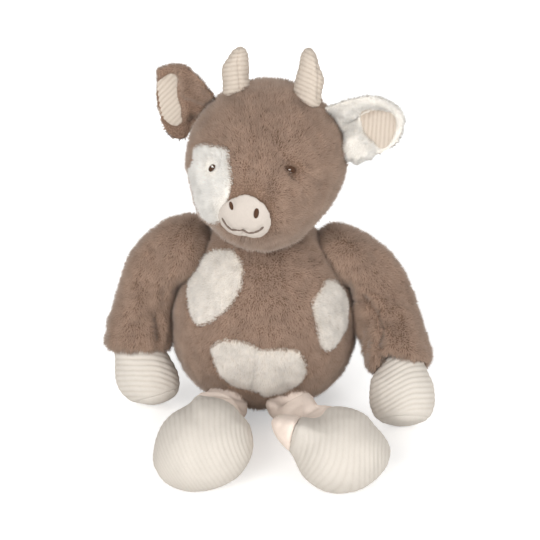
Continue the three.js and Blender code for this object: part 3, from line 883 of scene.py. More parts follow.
# %% The body's egg
pile_sink = 2.6 * mm
floor_gap = 0.2 * mm
body_outlines = {
    "patch_chest": [
        (202, 256), (219, 248), (234, 250), (243.5, 264), (242, 287), (231, 306), (215, 320),
        (200, 326), (193, 320), (188, 302), (190, 277), (195, 262),
    ],
    "patch_flank": [
        (324, 280), (334, 280), (343, 289), (348, 306), (346, 327), (334, 347.5), (327, 352),
        (319, 346), (315, 322), (310, 302), (317, 293.5),
    ],
    "patch_belly": [
        (210, 347.5), (218, 340), (240, 339.5), (254, 344), (261, 350), (277, 347.5), (297.5, 349),
        (304, 357), (308, 370.5), (300, 383), (285, 391), (265, 396), (256, 390), (231, 385),
        (219, 373), (214, 359),
    ],
}
egg_voxel = 1.9 * mm
socket_reach = 5 * mm
lump_scale = 150
body_egg = egg_form(
    "body_egg", ["body_skin", *body_outlines], egg_voxel, times=18, reach=socket_reach,
    swell=-pile_sink,
)
seat = places_of(body_egg)
seat[:, 2] -= pile_sink * ease((9 * mm - seat[:, 2]) / (6 * mm))
kept_above(place_points(body_egg, seat), 0.5 * mm)
lumped(body_egg, 1.1 * mm, lump_scale, seed=1)
folded(
    body_egg,
    ([(256, 340), (255, 362), (252, 388)], -2.4 * mm, 2.2),
    ([(236, 410), (252, 412), (272, 410)], -3.5 * mm, 7),
)
print("body egg", len(body_egg.data.polygons), "faces")

# %% The body's cloths
fur_spacing = 1.5 * mm
head_tree = tree_of("head_skin", "eye_patch")
for piece in cut_cloths(body_egg, "body_skin", body_outlines):
    node_name = piece.name.removesuffix("_fur")
    places = places_of(piece)
    pile = 0.7 + 0.3 * ease(edge_gaps(piece) / (5 * mm))
    pile *= 0.35 + 0.65 * ease((places[:, 2] - 2 * mm) / (9 * mm))
    pile[gaps_to(head_tree, places) < 4 * mm] = 0
    if node_name == "body_skin":
        piled(piece, pile, fur_tuft, fur_spacing, floor_at=floor_gap)
        dressed(piece, brown_pile, "brown_fur", "body", node_name, fill=0.9)
    else:
        piled(piece, pile, short_tuft, 1.25 * mm, floor_at=floor_gap)
        dressed(piece, cream_pile, "cream_fur", "body", node_name, fill=0.9)

# %% [markdown]
# ## The head
# The head is a second, wider egg, and the patch round the right eye is let into it. The egg could
# be kept as it is, but a stuffed head is never even: the eyes are drawn in by their stitches, and
# creases run from them. So it's drawn to the picture's outline and folded. Its pile is trimmed
# round the muzzle and the eyes, and it leans away from both.

# %% The head's egg
head_outlines = {
    "eye_patch": [
        (195, 147), (208, 145), (229, 149), (230, 165), (233, 177), (231, 194), (227, 201),
        (225, 215), (219, 222), (211, 224), (201, 220), (194, 206), (191, 183), (190, 169), (195, 160),
    ],
}
left_cheek = [
    (348, 150), (348, 158), (346, 168), (341.5, 183), (335, 199), (319, 219), (301, 236),
]
right_cheek = [(192.6, 184), (193.2, 192), (194.4, 209), (198, 216), (201.2, 220.7)]
head_egg = egg_form(
    "head_egg", ["head_skin", *head_outlines], egg_voxel, times=16, reach=socket_reach,
    swell=1.1 * mm - pile_sink,
)
fitted(head_egg, left_cheek, inset=4.2)
fitted(head_egg, right_cheek, inset=2.6)
lumped(head_egg, 1.2 * mm, lump_scale, seed=2)
folded(
    head_egg,
    ([(212, 168), (214, 167)], -1.8 * mm, 6),
    ([(289, 168), (294, 170)], -4.2 * mm, 6.5),
    ([(296, 172), (306, 177), (318, 184)], -2.2 * mm, 2.6),
    ([(294, 176), (300, 188), (304, 200)], -1.6 * mm, 2.6),
    ([(286, 164), (280, 158), (276, 150)], -1.6 * mm, 2.6),
    ([(243.5, 236), (246, 244), (249, 254)], -2.8 * mm, 2.2),
    ([(256, 102), (258, 125), (255, 150), (250, 175)], -2.0 * mm, 3),
)
print("head egg", len(head_egg.data.polygons), "faces")

# %% The head's cloths
eye_pixels = {"right": (212.8, 168.2), "left": (291.3, 169.2)}
eye_radius = 3.2 * mm
head_cloth = tree_from(head_egg)
muzzle_tree = tree_of("muzzle")
horn_tree = tree_of("horn_right", "horn_left")
muzzle_middle = np.array(middle_of("muzzle"))
eyes = [np.array(seen_on(head_cloth, eye_pixels[side])[0]) for side in ("right", "left")]

for piece in cut_cloths(head_egg, "head_skin", head_outlines):
    node_name = piece.name.removesuffix("_fur")
    places = places_of(piece)
    pile = 0.75 + 0.25 * ease(edge_gaps(piece) / (5 * mm))
    to_muzzle = gaps_to(muzzle_tree, places)
    pile *= 0.45 + 0.55 * ease((to_muzzle - 2 * mm) / (9 * mm))
    to_eyes = np.min([np.linalg.norm(places - eye, axis=1) for eye in eyes], axis=0)
    pile *= 0.35 + 0.65 * ease((to_eyes - 3 * mm) / (7 * mm))
    pile[(to_muzzle < 2.2 * mm) | inside_of(muzzle_tree, places)] = 0
    pile[inside_of(horn_tree, places) | (to_eyes < eye_radius)] = 0
    away = places - muzzle_middle
    away /= np.linalg.norm(away, axis=1)[:, None]
    for eye in eyes:
        off = places - eye
        far = np.linalg.norm(off, axis=1)[:, None]
        near = np.exp(-((far / (9 * mm)) ** 2))
        away = away * (1 - near) + off / far * near
    if node_name == "head_skin":
        piled(piece, pile, fur_tuft, fur_spacing, away, seed=5)
        dressed(piece, brown_pile, "brown_fur", "head", node_name, fill=0.9)
    else:
        piled(piece, pile, short_tuft, 1.2 * mm, away, unrest=1.2, seed=6)
        dressed(piece, white_pile, "white_fur", "head", node_name, fill=0.9)

# %% [markdown]
# ## Arms
# An arm is a stuffed sleeve, closed at the shoulder and sewn to the hand at the wrist. The cloth is
# cut a little larger than its filling, so it bulges between the seams and gathers where the arm
# bends. Cloth blown up by pressure does that by itself. The seams are held, and the swelling is
# capped so that the arm keeps its place beside the belly.

# %% Stuffing a cloth
def stuffed(obj, held, cap, growth=0.05, pressure=4.0):
    """Blows a closed cloth up from inside. held is 1 where a seam holds it, and growth is how much
    larger than the form the cloth was cut."""
    before = places_of(obj)
    seam = obj.vertex_groups.new(name="seam")
    for i in np.flatnonzero(held > 0.02):
        seam.add([int(i)], float(held[i]), "REPLACE")
    cloth = obj.modifiers.new("stuffing", "CLOTH").settings
    cloth.vertex_group_mass = "seam"
    cloth.shrink_min = -growth
    cloth.use_pressure = True
    cloth.uniform_pressure_force = pressure
    cloth.effector_weights.gravity = 0
    for frame_number in range(1, 21):
        bpy.context.scene.frame_set(frame_number)
    finished(obj)
    bpy.context.scene.frame_set(1)
    obj.vertex_groups.clear()
    moved = places_of(obj) - before
    far = np.linalg.norm(moved, axis=1)
    print(obj.name, "swelled by", round(np.median(far) / mm, 2), "to", round(far.max() / mm, 2), "mm")
    capped = np.minimum(1, cap / np.maximum(far, 1e-9))[:, None]
    return place_points(obj, before + moved * capped)


# %% The arms' outlines and folds
arm_outlines = {
    "right": [
        (209, 224), (206, 215), (193, 213), (178, 216), (165, 220.5), (154, 226), (143, 235.5),
        (133, 249), (122, 274), (113, 307), (107, 330), (104, 342), (105.5, 350), (113, 353),
    ],
    "left": [
        (320, 228), (326, 221), (337, 222.5), (350, 227.5), (366, 233), (382, 242), (393, 254),
        (403, 268), (413, 292), (421, 318), (427, 341), (433.5, 358), (431.5, 370), (424, 374),
        (414, 370), (405, 365), (397, 364), (389, 367), (380, 372), (372, 374), (366, 366),
        (362, 352), (357, 340), (352, 328), (349, 314),
    ],
}
arm_folds = {
    "right": [
        ([(153, 314), (155, 324), (157, 338)], -5.0 * mm, 2.3),
        ([(163, 312), (166, 330), (166, 344)], 1.6 * mm, 4),
        ([(128, 322), (138, 320)], -2.0 * mm, 2.6),
        ([(162.7, 286), (161.5, 304)], -2.2 * mm, 2.6),
        ([(138, 300), (142, 318), (145, 336)], 1.2 * mm, 6),
    ],
    "left": [
        ([(366, 296), (374, 306), (380, 317), (384, 332), (381, 345)], -5.0 * mm, 2.3),
        ([(362, 306), (369, 318), (373, 334)], 1.4 * mm, 4),
        ([(377, 355), (384, 353), (391, 355)], -3.0 * mm, 2.6),
        ([(396, 310), (402, 330), (406, 350)], 1.2 * mm, 7),
    ],
}

# %% Arms
body_cloth = tree_of("body_skin", *body_outlines)


def nearness(tree, places, start, width):
    """1 on a form and up to start away from it, and 0 from a width further on."""
    return 1 - ease((gaps_to(tree, places) - start) / width)


for side in ("right", "left"):
    arm = soft_copy(
        f"arm_{side}_fur", [f"arm_{side}"], 2.4 * mm, times=5, swell=1.4 * mm - pile_sink
    )
    at_hand = nearness(tree_of(f"hand_{side}"), places_of(arm), 2 * mm, 5 * mm)
    at_body = nearness(body_cloth, places_of(arm), 2 * mm, 5 * mm)
    stuffed(arm, np.maximum(at_hand, at_body), cap=2.2 * mm)
    subdivided(arm)
    fitted(arm, arm_outlines[side], inset=3.6)
    lumped(arm, 1.0 * mm, lump_scale, seed=3)
    folded(arm, *arm_folds[side])
    elbow_line = arm_folds[side][0][0]
    in_elbow = np.exp(-((to_line(elbow_line, pixels_of(places_of(arm))) / 2.4) ** 2))
    pile = 1 - 0.75 * in_elbow * facing_share(arm)
    piled(arm, pile, fur_tuft, fur_spacing, sheet=False, seed=8, floor_at=floor_gap)
    dressed(arm, brown_pile, "brown_fur", f"{side}_arm", f"arm_{side}", fill=0.8)

# %% [markdown]
# ## Ears
# An ear is a cupped leaf of plush with a corduroy lining sewn inside its hem. Where it is sewn to
# the head its front edge is folded over, so a roll of plush lies before the lining. The leaf is one
# form: the fold is raised on it, and then it is divided into plush and lining.

# %% The ears' outlines and folds
ear_outlines = {
    "right": [
        (208, 91), (199, 80), (190.8, 72.5), (183.3, 67), (174.4, 65.5), (167.5, 68), (159, 70),
        (158, 80), (157.5, 95), (158.5, 108), (161.7, 118), (165.5, 129), (171, 136), (180, 140.5),
        (186, 138),
    ],
    "left": [
        (330, 105), (342, 99), (355, 96), (369, 94.5), (380, 96), (390, 101), (400, 108), (405, 120),
        (403, 132), (399, 142), (386, 154), (369, 161), (356, 159), (349, 154),
    ],
}
ear_linings = {
    "right": [
        (169.6, 73.2), (175.8, 73.8), (178.5, 78.3), (177.1, 87.2), (177.1, 97.5), (181.2, 105),
        (181.9, 111.8), (179.2, 116.6), (184.3, 122), (176.5, 127.3), (169.6, 124.9), (163, 118),
        (157, 112), (153, 103), (153, 90), (157, 82), (163.4, 76.9),
    ],
    "left": [
        (359.1, 114.1), (362.6, 109.5), (370.7, 108.3), (382.4, 109.5), (391.1, 111.8),
        (396.3, 118.8), (396.3, 129.2), (392.2, 139.7), (387, 147.8), (381.2, 149.6), (376.5, 147.2),
        (374.2, 142), (367.8, 138.5), (363.2, 132.7), (361, 124),
    ],
}
ear_lobes = {
    "right": [(184, 100), (192, 104), (196, 112), (192, 120), (184, 124), (181, 116)],
    "left": [
        (343, 138), (346, 130), (352, 126), (358, 125), (363, 129), (366, 135), (371, 139.5),
        (376, 146), (376, 153), (370, 159), (358, 161), (348, 158), (343, 148),
    ],
}
ear_folds = {
    "right": [
        ([(183, 72), (187, 82), (188, 95)], 3.0 * mm, 6),
        ([(186, 98), (195, 104), (206, 109), (212, 104)], -2.6 * mm, 3),
        ([(192, 120), (198, 118)], -2.4 * mm, 2.5),
        ([(160, 69), (163, 76)], 1.6 * mm, 3),
    ],
    "left": [
        (
            [(344, 112), (360, 103), (376, 101), (391, 106), (400, 118), (400, 133), (393, 147)],
            2.2 * mm, 5,
        ),
        ([(344, 126), (355, 121), (363, 117), (372, 112.5), (382, 111.5)], -4.5 * mm, 2.6),
        ([(333, 118), (336, 132), (341, 146)], -1.4 * mm, 4),
    ],
}

# %% Ears
ear_insets = {"right": -1.2, "left": 2.6}
lobe_heights = {"right": 3 * mm, "left": 10 * mm}
# The left ear is cream plush, but it takes the lighter white pile: painted light on an ear that lies
# in shade.
ear_cloths = {"right": (brown_pile, "brown_fur"), "left": (white_pile, "cream_fur")}
ear_bends = {}
linings = {}
for side in ("right", "left"):
    root = hinge_place(f"ear_{side}_flop")
    outward = (middle_of(f"ear_{side}") - root).normalized()
    ear_bends[side] = ("head", root - 3 * mm * outward, root + 9 * mm * outward)

    leaf = soft_copy(f"ear_{side}", [f"ear_{side}"], 1.2 * mm, times=6, swell=-0.4 * mm)
    fitted(leaf, ear_outlines[side], inset=ear_insets[side])
    bulged(leaf, ear_lobes[side], lobe_heights[side], edge=6)
    folded(leaf, *ear_folds[side])
    smoothed(leaf, 2)
    lining_outline = {f"ear_lining_{side}": ear_linings[side]}
    plush, linings[side] = cut_cloths(leaf, f"ear_{side}", lining_outline, wrap=0.2)
    pile = 0.35 + 0.4 * ease(edge_gaps(plush) / (4 * mm))
    piled(plush, pile, short_tuft, 1.3 * mm, outward, softness=1.5, seed=9)
    dressed(
        plush, *ear_cloths[side], f"{side}_ear", f"ear_{side}", fill=0.5, bend=ear_bends[side]
    )
    linings[side].name = f"ear_lining_{side}_corduroy"

# %% [markdown]
# ## Corduroy pieces
# Corduroy has a rounded rib every 3.7 mm. The ribs could be a bump texture, but they show at the
# outline and hold real shadows, so they are pressed into the mesh. A rib runs straight in the flat
# cloth, so on a stuffed form it keeps its distance to the next one. That distance is taken from
# where each point lies in the picture, stretched at the feet's round sides and bent on the hands.

# %% Ribs and seams
rib_pitch = 3.7 * mm
rib_depth = 0.5 * mm
pixel = 0.68 * mm


def ribbed(obj, run, pitch=rib_pitch, depth=rib_depth):
    """Presses grooves between the ribs. run is how far each point is across the ribs."""
    wander = 0.3 * mm * ripple(places_of(obj), 120, 4)
    ridge = np.abs(np.sin(math.pi * (run + wander) / pitch)) ** 0.75
    raised(obj, depth * (ridge - 1))
    # The ridge mark sets how much painted shade the grooves get, and shallower ribs get less.
    mark(obj, "ridge", 1 - (1 - ridge) * np.minimum(1, depth / rib_depth))
    return obj


def hemmed(cloth, depth):
    """Draws a bare cloth in along its cut edge, and gives it its backing, above the floor."""
    raised(cloth, -depth * np.exp(-((edge_gaps(cloth) / (1.3 * mm)) ** 2)))
    mark(cloth, "pile", 0)
    return kept_above(backed(cloth), 0.1 * mm)


def halved(form, names, first, second, margin=0.0, front=None, wrap=0.2):
    """Divides a form between two cloths. A face goes to the second where the second's solid is
    nearer than the first's by a margin, but not in the outline of the first cloth's front."""
    centres, toward = faces_of(form)
    owner = gaps_to(first, centres) > gaps_to(second, centres) + margin
    if front is not None:
        owner &= ~(within(front, pixels_of(centres)) & (toward > -wrap))
    return split(form, names, owner.astype(int))


def picture_run(obj, slope=0.0):
    """How high each point lies in the picture, for ribs that run across it. A slope tilts them."""
    pixels = pixels_of(places_of(obj))
    return (-pixels[:, 1] - np.tan(slope) * pixels[:, 0]) * np.cos(slope) * pixel


# %% [markdown]
# ## Legs and feet
# A leg is a short velour sleeve, and its foot a stuffed corduroy ball sewn to the sleeve's end. Two
# separate forms would meet in a sharp valley, and filled cloth has none. So leg and foot start as
# one form. It's raised, remeshed and lowered again, which fills the valley, and then it's drawn to
# the outline, folded and cut along the seam.

# %% The limbs' outlines and folds
limb_outlines = {
    "right": [
        (196, 387), (195, 401), (184.8, 407), (171.4, 413.8), (161.4, 425), (155.8, 438.4),
        (153, 451.8), (153, 465), (159, 476.3), (167, 484), (178, 489.7), (191.5, 491), (205, 490.5),
        (220.5, 487), (234, 480), (245, 468.5), (251.5, 456.3), (254, 442.9), (252, 431.7),
        (247.5, 421), (246, 410),
    ],
    "left": [
        (266.3, 404.9), (269.6, 418.3), (273, 431.7), (280, 443), (293, 454), (296.4, 464),
        (302, 476.3), (312, 485.3), (323.2, 491.5), (336.6, 494), (352.2, 492.5), (367.9, 486),
        (379.5, 475.2), (388, 464), (391, 451.8), (388, 440.6), (380, 430.6), (373.4, 425),
        (367.9, 416), (358.9, 410.5), (345.5, 407), (336.6, 406.5), (325.4, 407.5), (314, 411),
    ],
}
limb_folds = {
    "right": [([(196, 396), (215, 394), (232, 396), (246, 400)], -1.4 * mm, 2.5)],
    "left": [
        ([(268, 412), (282, 404), (296, 400)], -0.7 * mm, 3),
        ([(278, 428), (286, 414), (300, 404)], -0.6 * mm, 3),
        ([(316.7, 406), (302.2, 414.8), (294.4, 426), (290, 443.8)], -1.6 * mm, 3),
    ],
}
leg_in_front = [
    (255, 385), (330, 380), (325, 400), (316.7, 406), (302.2, 414.8), (294.4, 426), (290, 443.8),
    (288, 455), (270, 450), (255, 420),
]
left_instep = (321, 420)


# %% One form for a leg and its foot
def limb_form(side, rise=8 * mm):
    """Leg and foot as one form. Where it's raised its walls grow together across the valley, and
    they stay together when it's lowered again."""
    solids = [f"leg_{side}", f"foot_{side}"]
    limb = soft_copy(f"limb_{side}", solids, 1.2 * mm, times=8, swell=0.4 * mm)
    remeshed(raised(limb, rise), 1.6 * mm)
    raised(smoothed(limb, 6), -rise)
    return smoothed(remeshed(limb, 1.5 * mm), 7)


def squeezed(limb, side, leg_tree):
    """Presses a leg flat under the belly. The left one is pressed in from its outer side too."""
    places = places_of(limb)
    at_body = nearness(body_cloth, places, 0, 18 * mm)
    places[:, 2] *= 1 - 0.3 * at_body
    if side == "left":
        outer_side = 24 * mm
        past = np.maximum(0, places[:, 0] - outer_side)
        places[:, 0] -= 0.45 * past * nearness(leg_tree, places, 0, 9 * mm)
    return raised(place_points(limb, places), -2 * mm * at_body)


def rounded_near(obj, pixel_place, reach, times=90):
    """Smooths a form well, but only round one pixel of the picture."""
    places = places_of(obj)
    away = np.linalg.norm(pixels_of(places) - pixel_place, axis=1)
    near = np.exp(-((away / reach) ** 2))[:, None]
    return place_points(obj, places + (places_of(smoothed(obj, times)) - places) * near)


def foot_run(foot, side):
    """How far each point is across the ribs. They run down the foot, closer together at its sides
    as on a ball, and sway to one side below."""
    pixels = pixels_of(places_of(foot))
    low, high = pixels.min(axis=0), pixels.max(axis=0)
    sway_start = low[1] + 26
    sway = 0.0062 * np.maximum(0, pixels[:, 1] - sway_start) ** 2
    if side == "left":
        straight_rim, fading = 24, 60
        sway *= -1.3 * ease((high[0] - straight_rim - pixels[:, 0]) / fading)
    half = (high[0] - low[0]) / 2
    across = (pixels[:, 0] - low[0]) / half - 1 - sway / half
    return (across + 0.17 * across**3 + 0.12 * across**5) * half * pixel


# %% Legs and feet
for side in ("right", "left"):
    leg_tree, foot_tree = tree_of(f"leg_{side}"), tree_of(f"foot_{side}")
    limb = squeezed(limb_form(side), side, leg_tree)
    if side == "right":
        fitted(limb, limb_outlines[side], inset=-0.7)
    else:
        on_foot = ease(gaps_to(leg_tree, places_of(limb)) / (9 * mm))
        fitted(limb, limb_outlines[side], inset=-0.7, part=on_foot)
        rounded_near(limb, left_instep, reach=17)
    subdivided(limb)
    lumped(limb, 0.6 * mm, 60, seed=14)
    folded(limb, *limb_folds[side])
    leg, foot = halved(
        limb, [f"leg_{side}_velour", f"foot_{side}_corduroy"], leg_tree, foot_tree,
        margin=9 * mm, front=leg_in_front if side == "left" else None,
    )
    evened(leg)
    evened(foot)
    fade = 0.1 + 0.9 * ease((edge_gaps(foot) - 2 * mm) / (12 * mm))
    ribbed(foot, foot_run(foot, side), pitch=4.1 * mm, depth=0.36 * mm * fade)
    for cloth in (leg, foot):
        hemmed(cloth, depth=0.4 * mm)

    hip = hinge_place(f"leg_{side}_lift")
    hip_bend = ("body", hip + Vector((0, 8, 0)) * mm, hip - Vector((0, 14, 0)) * mm)
    dressed(
        leg, leg_velour, "leg_velour", f"{side}_leg", f"leg_{side}", fill=0.7, bend=hip_bend
    )
    dressed(foot, foot_corduroy, "corduroy", f"{side}_leg", f"foot_{side}", fill=0.9)
    print(f"{side} leg", len(leg.data.polygons), "faces, foot", len(foot.data.polygons))

# %% [markdown]
# ## Hands
# A hand is a corduroy bell, gathered at the wrist and closed below by a sole. Both are one soft
# form, which is divided where the sole's solid is the nearer one. Straight ribs would do for a
# tube, but a bell's panel is cut on a curve, so its ribs bend down on the hand's inner side.

# %% The hands' outlines and ribs
hand_outlines = {
    "right": [
        (114.5, 356), (114.5, 370), (115.5, 382.6), (120.5, 394), (133.5, 402.6), (151.3, 406),
        (167, 402.6), (176.5, 395.5), (180.5, 385), (179.5, 373.7), (175, 364.7), (170, 357),
    ],
    "left": [
        (371.5, 373), (369, 389.3), (368.5, 405), (373.4, 417), (383.5, 423.4), (396.9, 427),
        (412.5, 426), (426.5, 421), (434.5, 410.5), (436, 398), (433.5, 382.6), (428, 371.4),
    ],
}


def hand_run(hand, side, soft_start=6):
    """How far each point is across the ribs, which bend down on the inner side."""
    bend_start = 150 if side == "right" else 410
    across = pixels_of(places_of(hand))[:, 0]
    if side == "right":
        bend = 0.012 * np.maximum(0, across - bend_start) ** 2
    else:
        inward = bend_start - across
        bend = 0.3 * (inward + np.sqrt(inward**2 + soft_start**2))
    return picture_run(hand) + bend * pixel


# %% Hands
hem_depths = {"right": 0.2 * mm, "left": 0.5 * mm}
for side in ("right", "left"):
    solids = [f"hand_{side}", f"hand_sole_{side}"]
    bell = soft_copy(f"bell_{side}", solids, 1.4 * mm, times=10, swell=0.6 * mm)
    subdivided(bell)
    fitted(bell, hand_outlines[side])
    names = [f"{solid}_corduroy" for solid in solids]
    hand, sole = halved(bell, names, *[tree_of(solid) for solid in solids])
    run = hand_run(hand, side)
    evened(hand, 8)
    evened(sole, 8)
    ribbed(hand, run, depth=rib_depth * ease(0.15 + edge_gaps(hand) / (7 * mm)))
    ribbed(sole, places_of(sole)[:, 0], depth=0.1 * mm)
    for cloth in (hand, sole):
        hemmed(cloth, hem_depths[side])
    dressed(hand, corduroy, "corduroy", f"{side}_arm", f"hand_{side}", fill=0.8)
    dressed(sole, corduroy, "corduroy", f"{side}_arm", f"hand_sole_{side}", fill=0.5)
    print(f"{side} hand", len(hand.data.polygons), "faces, sole", len(sole.data.polygons))

# %% [markdown]
# ## Horns and ear linings
# Horns and linings are sewn from a thinner corduroy with a finer rib. Its darker colour is painted
# shade, which falls on the horns and inside the ears. A horn is a narrow bag, which splays a little
# where it's sewn on, and its seam shows as a line down its front. The lining lay in the ear's leaf
# from the start, so it needs only its ribs and its backing.

# %% Horns
horn_slopes = {"right": math.radians(5), "left": math.radians(-25)}
horn_outlines = {
    "right": [
        (223.5, 95), (222.7, 83.6), (221.5, 74.4), (222.7, 65.3), (226.6, 59.5), (230, 54),
        (233.5, 49.5), (240.4, 46), (246, 48.5), (248.8, 56), (249.2, 67.6), (249, 79),
        (251.5, 89),
    ],
    "left": [
        (291.5, 94), (293.2, 87), (295.5, 79), (297.8, 69.8), (299, 60.7), (301.2, 52), (307, 46),
        (313, 48.7), (316.7, 56), (319, 65.3), (322.4, 73.3), (324.3, 81.3), (321.5, 95), (320, 105),
    ],
}
horn_seams = {
    "right": [(239, 46), (238, 62), (240, 88)],
    "left": [(317, 58), (319, 75), (318, 100)],
}


def sewn_horn(side):
    horn = soft_copy(f"horn_{side}_corduroy", [f"horn_{side}"], 0.8 * mm, times=4, swell=0.2 * mm)
    subdivided(horn)
    smoothed(fitted(horn, horn_outlines[side], inset=-0.5), 14)
    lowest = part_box(f"horn_{side}")[0].z
    splay = ease((lowest + 12 * mm - places_of(horn)[:, 2]) / (12 * mm))
    raised(horn, 0.8 * mm * splay)
    ribbed(horn, picture_run(horn, horn_slopes[side]), pitch=3.1 * mm, depth=0.4 * mm)
    folded(horn, (horn_seams[side], -0.7 * mm, 1.3))
    dressed(horn, thin_corduroy, "corduroy", "head", f"horn_{side}", fill=0.8)
    print(f"{side} horn", len(horn.data.polygons), "faces")


# %% Ear linings
lining_rib_ways = {"right": (0.7, 0.7), "left": (1.0, 0.06)}


def sewn_lining(side):
    lining = subdivided(linings[side])
    mark(lining, "pile", 0)
    across = pixels_of(places_of(lining)) @ np.array(lining_rib_ways[side]) * pixel
    ribbed(lining, across, pitch=2.9 * mm, depth=0.45 * mm)
    backed(lining, 0.9 * mm)
    dressed(
        lining, thin_corduroy, "corduroy", f"{side}_ear", f"ear_lining_{side}", fill=0.2,
        bend=ear_bends[side],
    )
    print(lining.name, len(lining.data.polygons), "faces")


for side in ("right", "left"):
    sewn_horn(side)
    sewn_lining(side)

# %% [markdown]
# ## Muzzle, filling, neck and tail
# The muzzle is a velour pad, drawn in where its stitches pull. The fillings are loose fibre and a
# bag of pellets. Nobody sees them, so a lumpy soft copy of each solid is enough, held a little
# smaller than its skin. The neck's ball turns in the gap between the skins. A bare ball would show
# there as a white ring from behind, so it gets a thin coat of the brown plush.

# %% Muzzle
muzzle = subdivided(soft_copy("muzzle_pad", ["muzzle"], 0.9 * mm, times=3, swell=0.3 * mm))
folded(
    muzzle,
    ([(243, 232), (243, 240)], -1.6 * mm, 2),
    ([(231.3, 203), (231.3, 208)], -0.8 * mm, 3.5),
    ([(256.3, 210), (256.3, 216)], -0.8 * mm, 3.5),
    ([(222, 218), (231.6, 229.6), (242.5, 229.8), (254.5, 232.4), (263, 227)], -0.6 * mm, 2),
)
muzzle_cloth = tree_from(muzzle)
dressed(muzzle, muzzle_velour, "muzzle_velour", "head", "muzzle", fill=0.7)
print("muzzle", len(muzzle.data.polygons), "faces")

# %% Fillings
fillings = {
    "body_stuffing": ("body", fibre_filling, "fibre_filling", 6 * mm),
    "pellet_bag": ("body", bag_cloth, "pellet_bag_cloth", 3 * mm),
    "neck_stuffing": ("neck", fibre_filling, "fibre_filling", 3 * mm),
    "head_stuffing": ("head", fibre_filling, "fibre_filling", 3 * mm),
}
for name, (body, material, slot, room) in fillings.items():
    filling = soft_copy(f"{name}_fill", [name], 4 * mm, times=3, swell=-room)
    raised(filling, 1.2 * mm * ripple(places_of(filling), 90, 11))
    dressed(filling, material, slot, body, name, fill=0.8)
    print(filling.name, len(filling.data.polygons), "faces")

# %% Neck and tail
neck = soft_copy("neck_fur", ["neck_stuffing"], 2 * mm, times=4, swell=-1.2 * mm)
piled(neck, 0.7, fur_tuft, 2.2 * mm, sheet=False, seed=15)
dressed(neck, brown_pile, "brown_fur", "neck", fill=0.8)

backwards = (0, 1, 0)
tail = soft_copy("tail_fur", ["tail"], 1.3 * mm, times=3, swell=-1.5 * mm)
piled(tail, 0.6, short_tuft, 1.4 * mm, backwards, 0.8, sheet=False, seed=12, floor_at=floor_gap)
dressed(tail, brown_pile, "brown_fur", "tail", "tail", fill=0.7)
tuft = soft_copy("tail_tuft_fur", ["tail_tuft"], 1.6 * mm, times=3, swell=-3 * mm)
piled(tuft, 0.9, fur_tuft, 1.4 * mm, backwards, 1.0, sheet=False, seed=13, floor_at=floor_gap)
dressed(tuft, cream_pile, "cream_fur", "tail", "tail_tuft", fill=0.7)

# %% [markdown]
# ## Embroidery
# The eyes and the nostrils are satin stitch: threads laid side by side across an oval. The mouth is
# back-stitch, one thread after another along a line. A thread could be a texture, but raised threads
# catch the light as the real ones do, so each is a slim bead that dives into the cloth at both ends.

# %% Threads
def thread(bm, cloth, first, last, width, rise):
    """Lays one thread on a cloth between two pixels of the picture."""
    start, _ = seen_on(cloth, first)
    end, out = seen_on(cloth, last)
    if start is None or end is None:
        return
    along = end - start
    middle = (start + end) / 2 + out * width * rise
    turn = along.to_track_quat("X", "Z").to_matrix().to_4x4()
    size = Matrix.Diagonal((along.length / 2 + width * 0.4, width / 2, width / 2, 1))
    bmesh.ops.create_icosphere(
        bm, subdivisions=2, radius=1, matrix=Matrix.Translation(middle) @ turn @ size
    )


def satin_oval(bm, cloth, middle, half_width, half_height, tilt, width, rise, closeness=0.8):
    """Threads side by side across an oval. Its sizes are in pixels, and tilt turns it clockwise."""
    middle = np.array(middle)
    across = np.array((math.cos(tilt), math.sin(tilt)))
    down = np.array((-math.sin(tilt), math.cos(tilt)))
    count = max(3, round(2 * half_height * pixel / (width * closeness)))
    for k in range(count):
        share = (k + 0.5) / count * 2 - 1
        reach = half_width * math.sqrt(1 - share * share)
        place = middle + down * half_height * share
        thread(bm, cloth, place - across * reach, place + across * reach, width, rise)


def embroidered(name, bm, material, slot, *nodes):
    piece = new_object(name, bm)
    dressed(piece, material, slot, "head", *nodes)
    print(name, len(piece.data.polygons), "faces")


# %% Eyes and nostrils
# Each oval has a middle, half its width, half its height and a tilt.
face_thread = 0.62 * mm
nostril_ovals = {
    "right": ((231.3, 205.8), 1.9, 4.2, math.radians(-14)),
    "left": ((256.3, 213.3), 2.6, 5.0, math.radians(8)),
}
eye_ovals = {
    "right": (eye_pixels["right"], 2.8, 4.4, math.radians(32)),
    "left": (eye_pixels["left"], 5.8, 3.8, math.radians(24)),
}
eye_glints = {
    "right": [((213.6, 165.4), (215.2, 167.6)), ((212.8, 166.0), (214.2, 168.0))],
    "left": [((287.6, 168.4), (290.2, 168.6)), ((287.8, 169.5), (290.2, 169.7))],
}
for side in ("right", "left"):
    bm = bmesh.new()
    satin_oval(bm, muzzle_cloth, *nostril_ovals[side], face_thread, rise=0.2)
    embroidered(f"nostril_{side}_stitches", bm, brown_thread, "brown_thread", f"nostril_{side}")
    bm = bmesh.new()
    satin_oval(bm, head_cloth, *eye_ovals[side], face_thread, rise=1.4)
    embroidered(f"eye_{side}_stitches", bm, brown_thread, "brown_thread", f"eye_{side}")
    bm = bmesh.new()
    for first, last in eye_glints[side]:
        thread(bm, head_cloth, first, last, face_thread, rise=2.1)
    embroidered(f"eye_{side}_glint", bm, white_thread, "grey_thread")

# %% Mouth
mouth_thread = 1.4 * mm
mouth_line = [
    (222.4, 218), (226.5, 225), (231.6, 229.4), (237, 229.8), (242.5, 229.4), (248.8, 232.8),
    (254.5, 232.2), (259.5, 230.2), (263, 227),
]
bm = bmesh.new()
for first, last in zip(mouth_line, mouth_line[1:]):
    thread(bm, muzzle_cloth, first, last, mouth_thread, rise=0.3)
embroidered("mouth_stitches", bm, grey_thread, "grey_thread", "mouth")

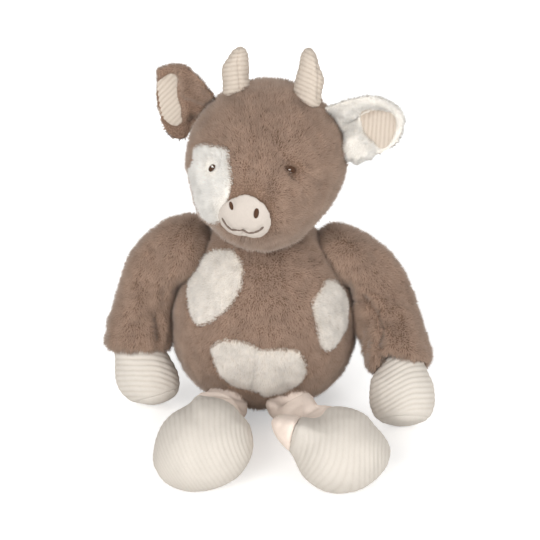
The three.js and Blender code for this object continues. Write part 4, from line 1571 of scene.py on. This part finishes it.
# %% [markdown]
# ## Light and floor
# Plush looks soft when its light is soft, so three wide lamps stand round the toy: a strong one in
# front, a weaker one on the other side, and one behind that lights the rim of the fur. The pale
# surroundings could come from stronger light, but that would wash the cloth out. Instead the world
# and the floor look lighter to the camera alone.

# %% Lamps
def area_light(name, place, size, watts, target=(0, 0, 0.12)):
    """A round lamp that points at the toy's middle."""
    data = bpy.data.lights.new(name, "AREA")
    data.shape = "DISK"
    data.size = size
    data.energy = watts
    lamp = bpy.data.objects.new(name, data)
    lamp.location = place
    lamp.rotation_euler = (Vector(target) - Vector(place)).to_track_quat("-Z", "Y").to_euler()
    bpy.context.scene.collection.objects.link(lamp)


area_light("key_light", (-0.7, -1.6, 0.85), size=1.2, watts=25)
area_light("fill_light", (1.2, -1.3, 0.6), size=1.4, watts=15)
area_light("back_light", (0.2, 1.4, 1.4), size=1.2, watts=13)


# %% World
def camera_ray(tree):
    """1 for what the camera sees itself, and 0 for light on the toy."""
    return node(tree, "ShaderNodeLightPath").outputs["Is Camera Ray"]


world = bpy.data.worlds.new("studio")
bpy.context.scene.world = world
sky = emptied(world)
sky_light = 0.42
strength = node(sky, "ShaderNodeMix", {0: camera_ray(sky), 2: sky_light, 3: 1.0}, data_type="FLOAT")
light = node(
    sky, "ShaderNodeBackground", {"Color": (1, 0.99, 0.97, 1), "Strength": strength.outputs[0]}
)
node(sky, "ShaderNodeOutputWorld", {0: light.outputs[0]})

# %% Floor
bm = bmesh.new()
bmesh.ops.create_grid(bm, x_segments=8, y_segments=8, size=4)
floor = new_object("studio_floor", bm)
floor_material = bpy.data.materials.new("studio_floor")
floor_tree = emptied(floor_material)
floor_lift = 0.42
paper = node(floor_tree, "ShaderNodeBsdfDiffuse", {"Color": (0.93, 0.93, 0.925, 1)})
lift = node(
    floor_tree, "ShaderNodeMath", {0: camera_ray(floor_tree), 1: floor_lift}, operation="MULTIPLY"
)
glow = node(floor_tree, "ShaderNodeEmission", {"Strength": lift.outputs[0]})
paper_glow = node(floor_tree, "ShaderNodeAddShader", {0: paper.outputs[0], 1: glow.outputs[0]})
node(floor_tree, "ShaderNodeOutputMaterial", {0: paper_glow.outputs[0]})
floor.data.materials.append(floor_material)

bpy.context.scene.view_settings.view_transform = "Standard"
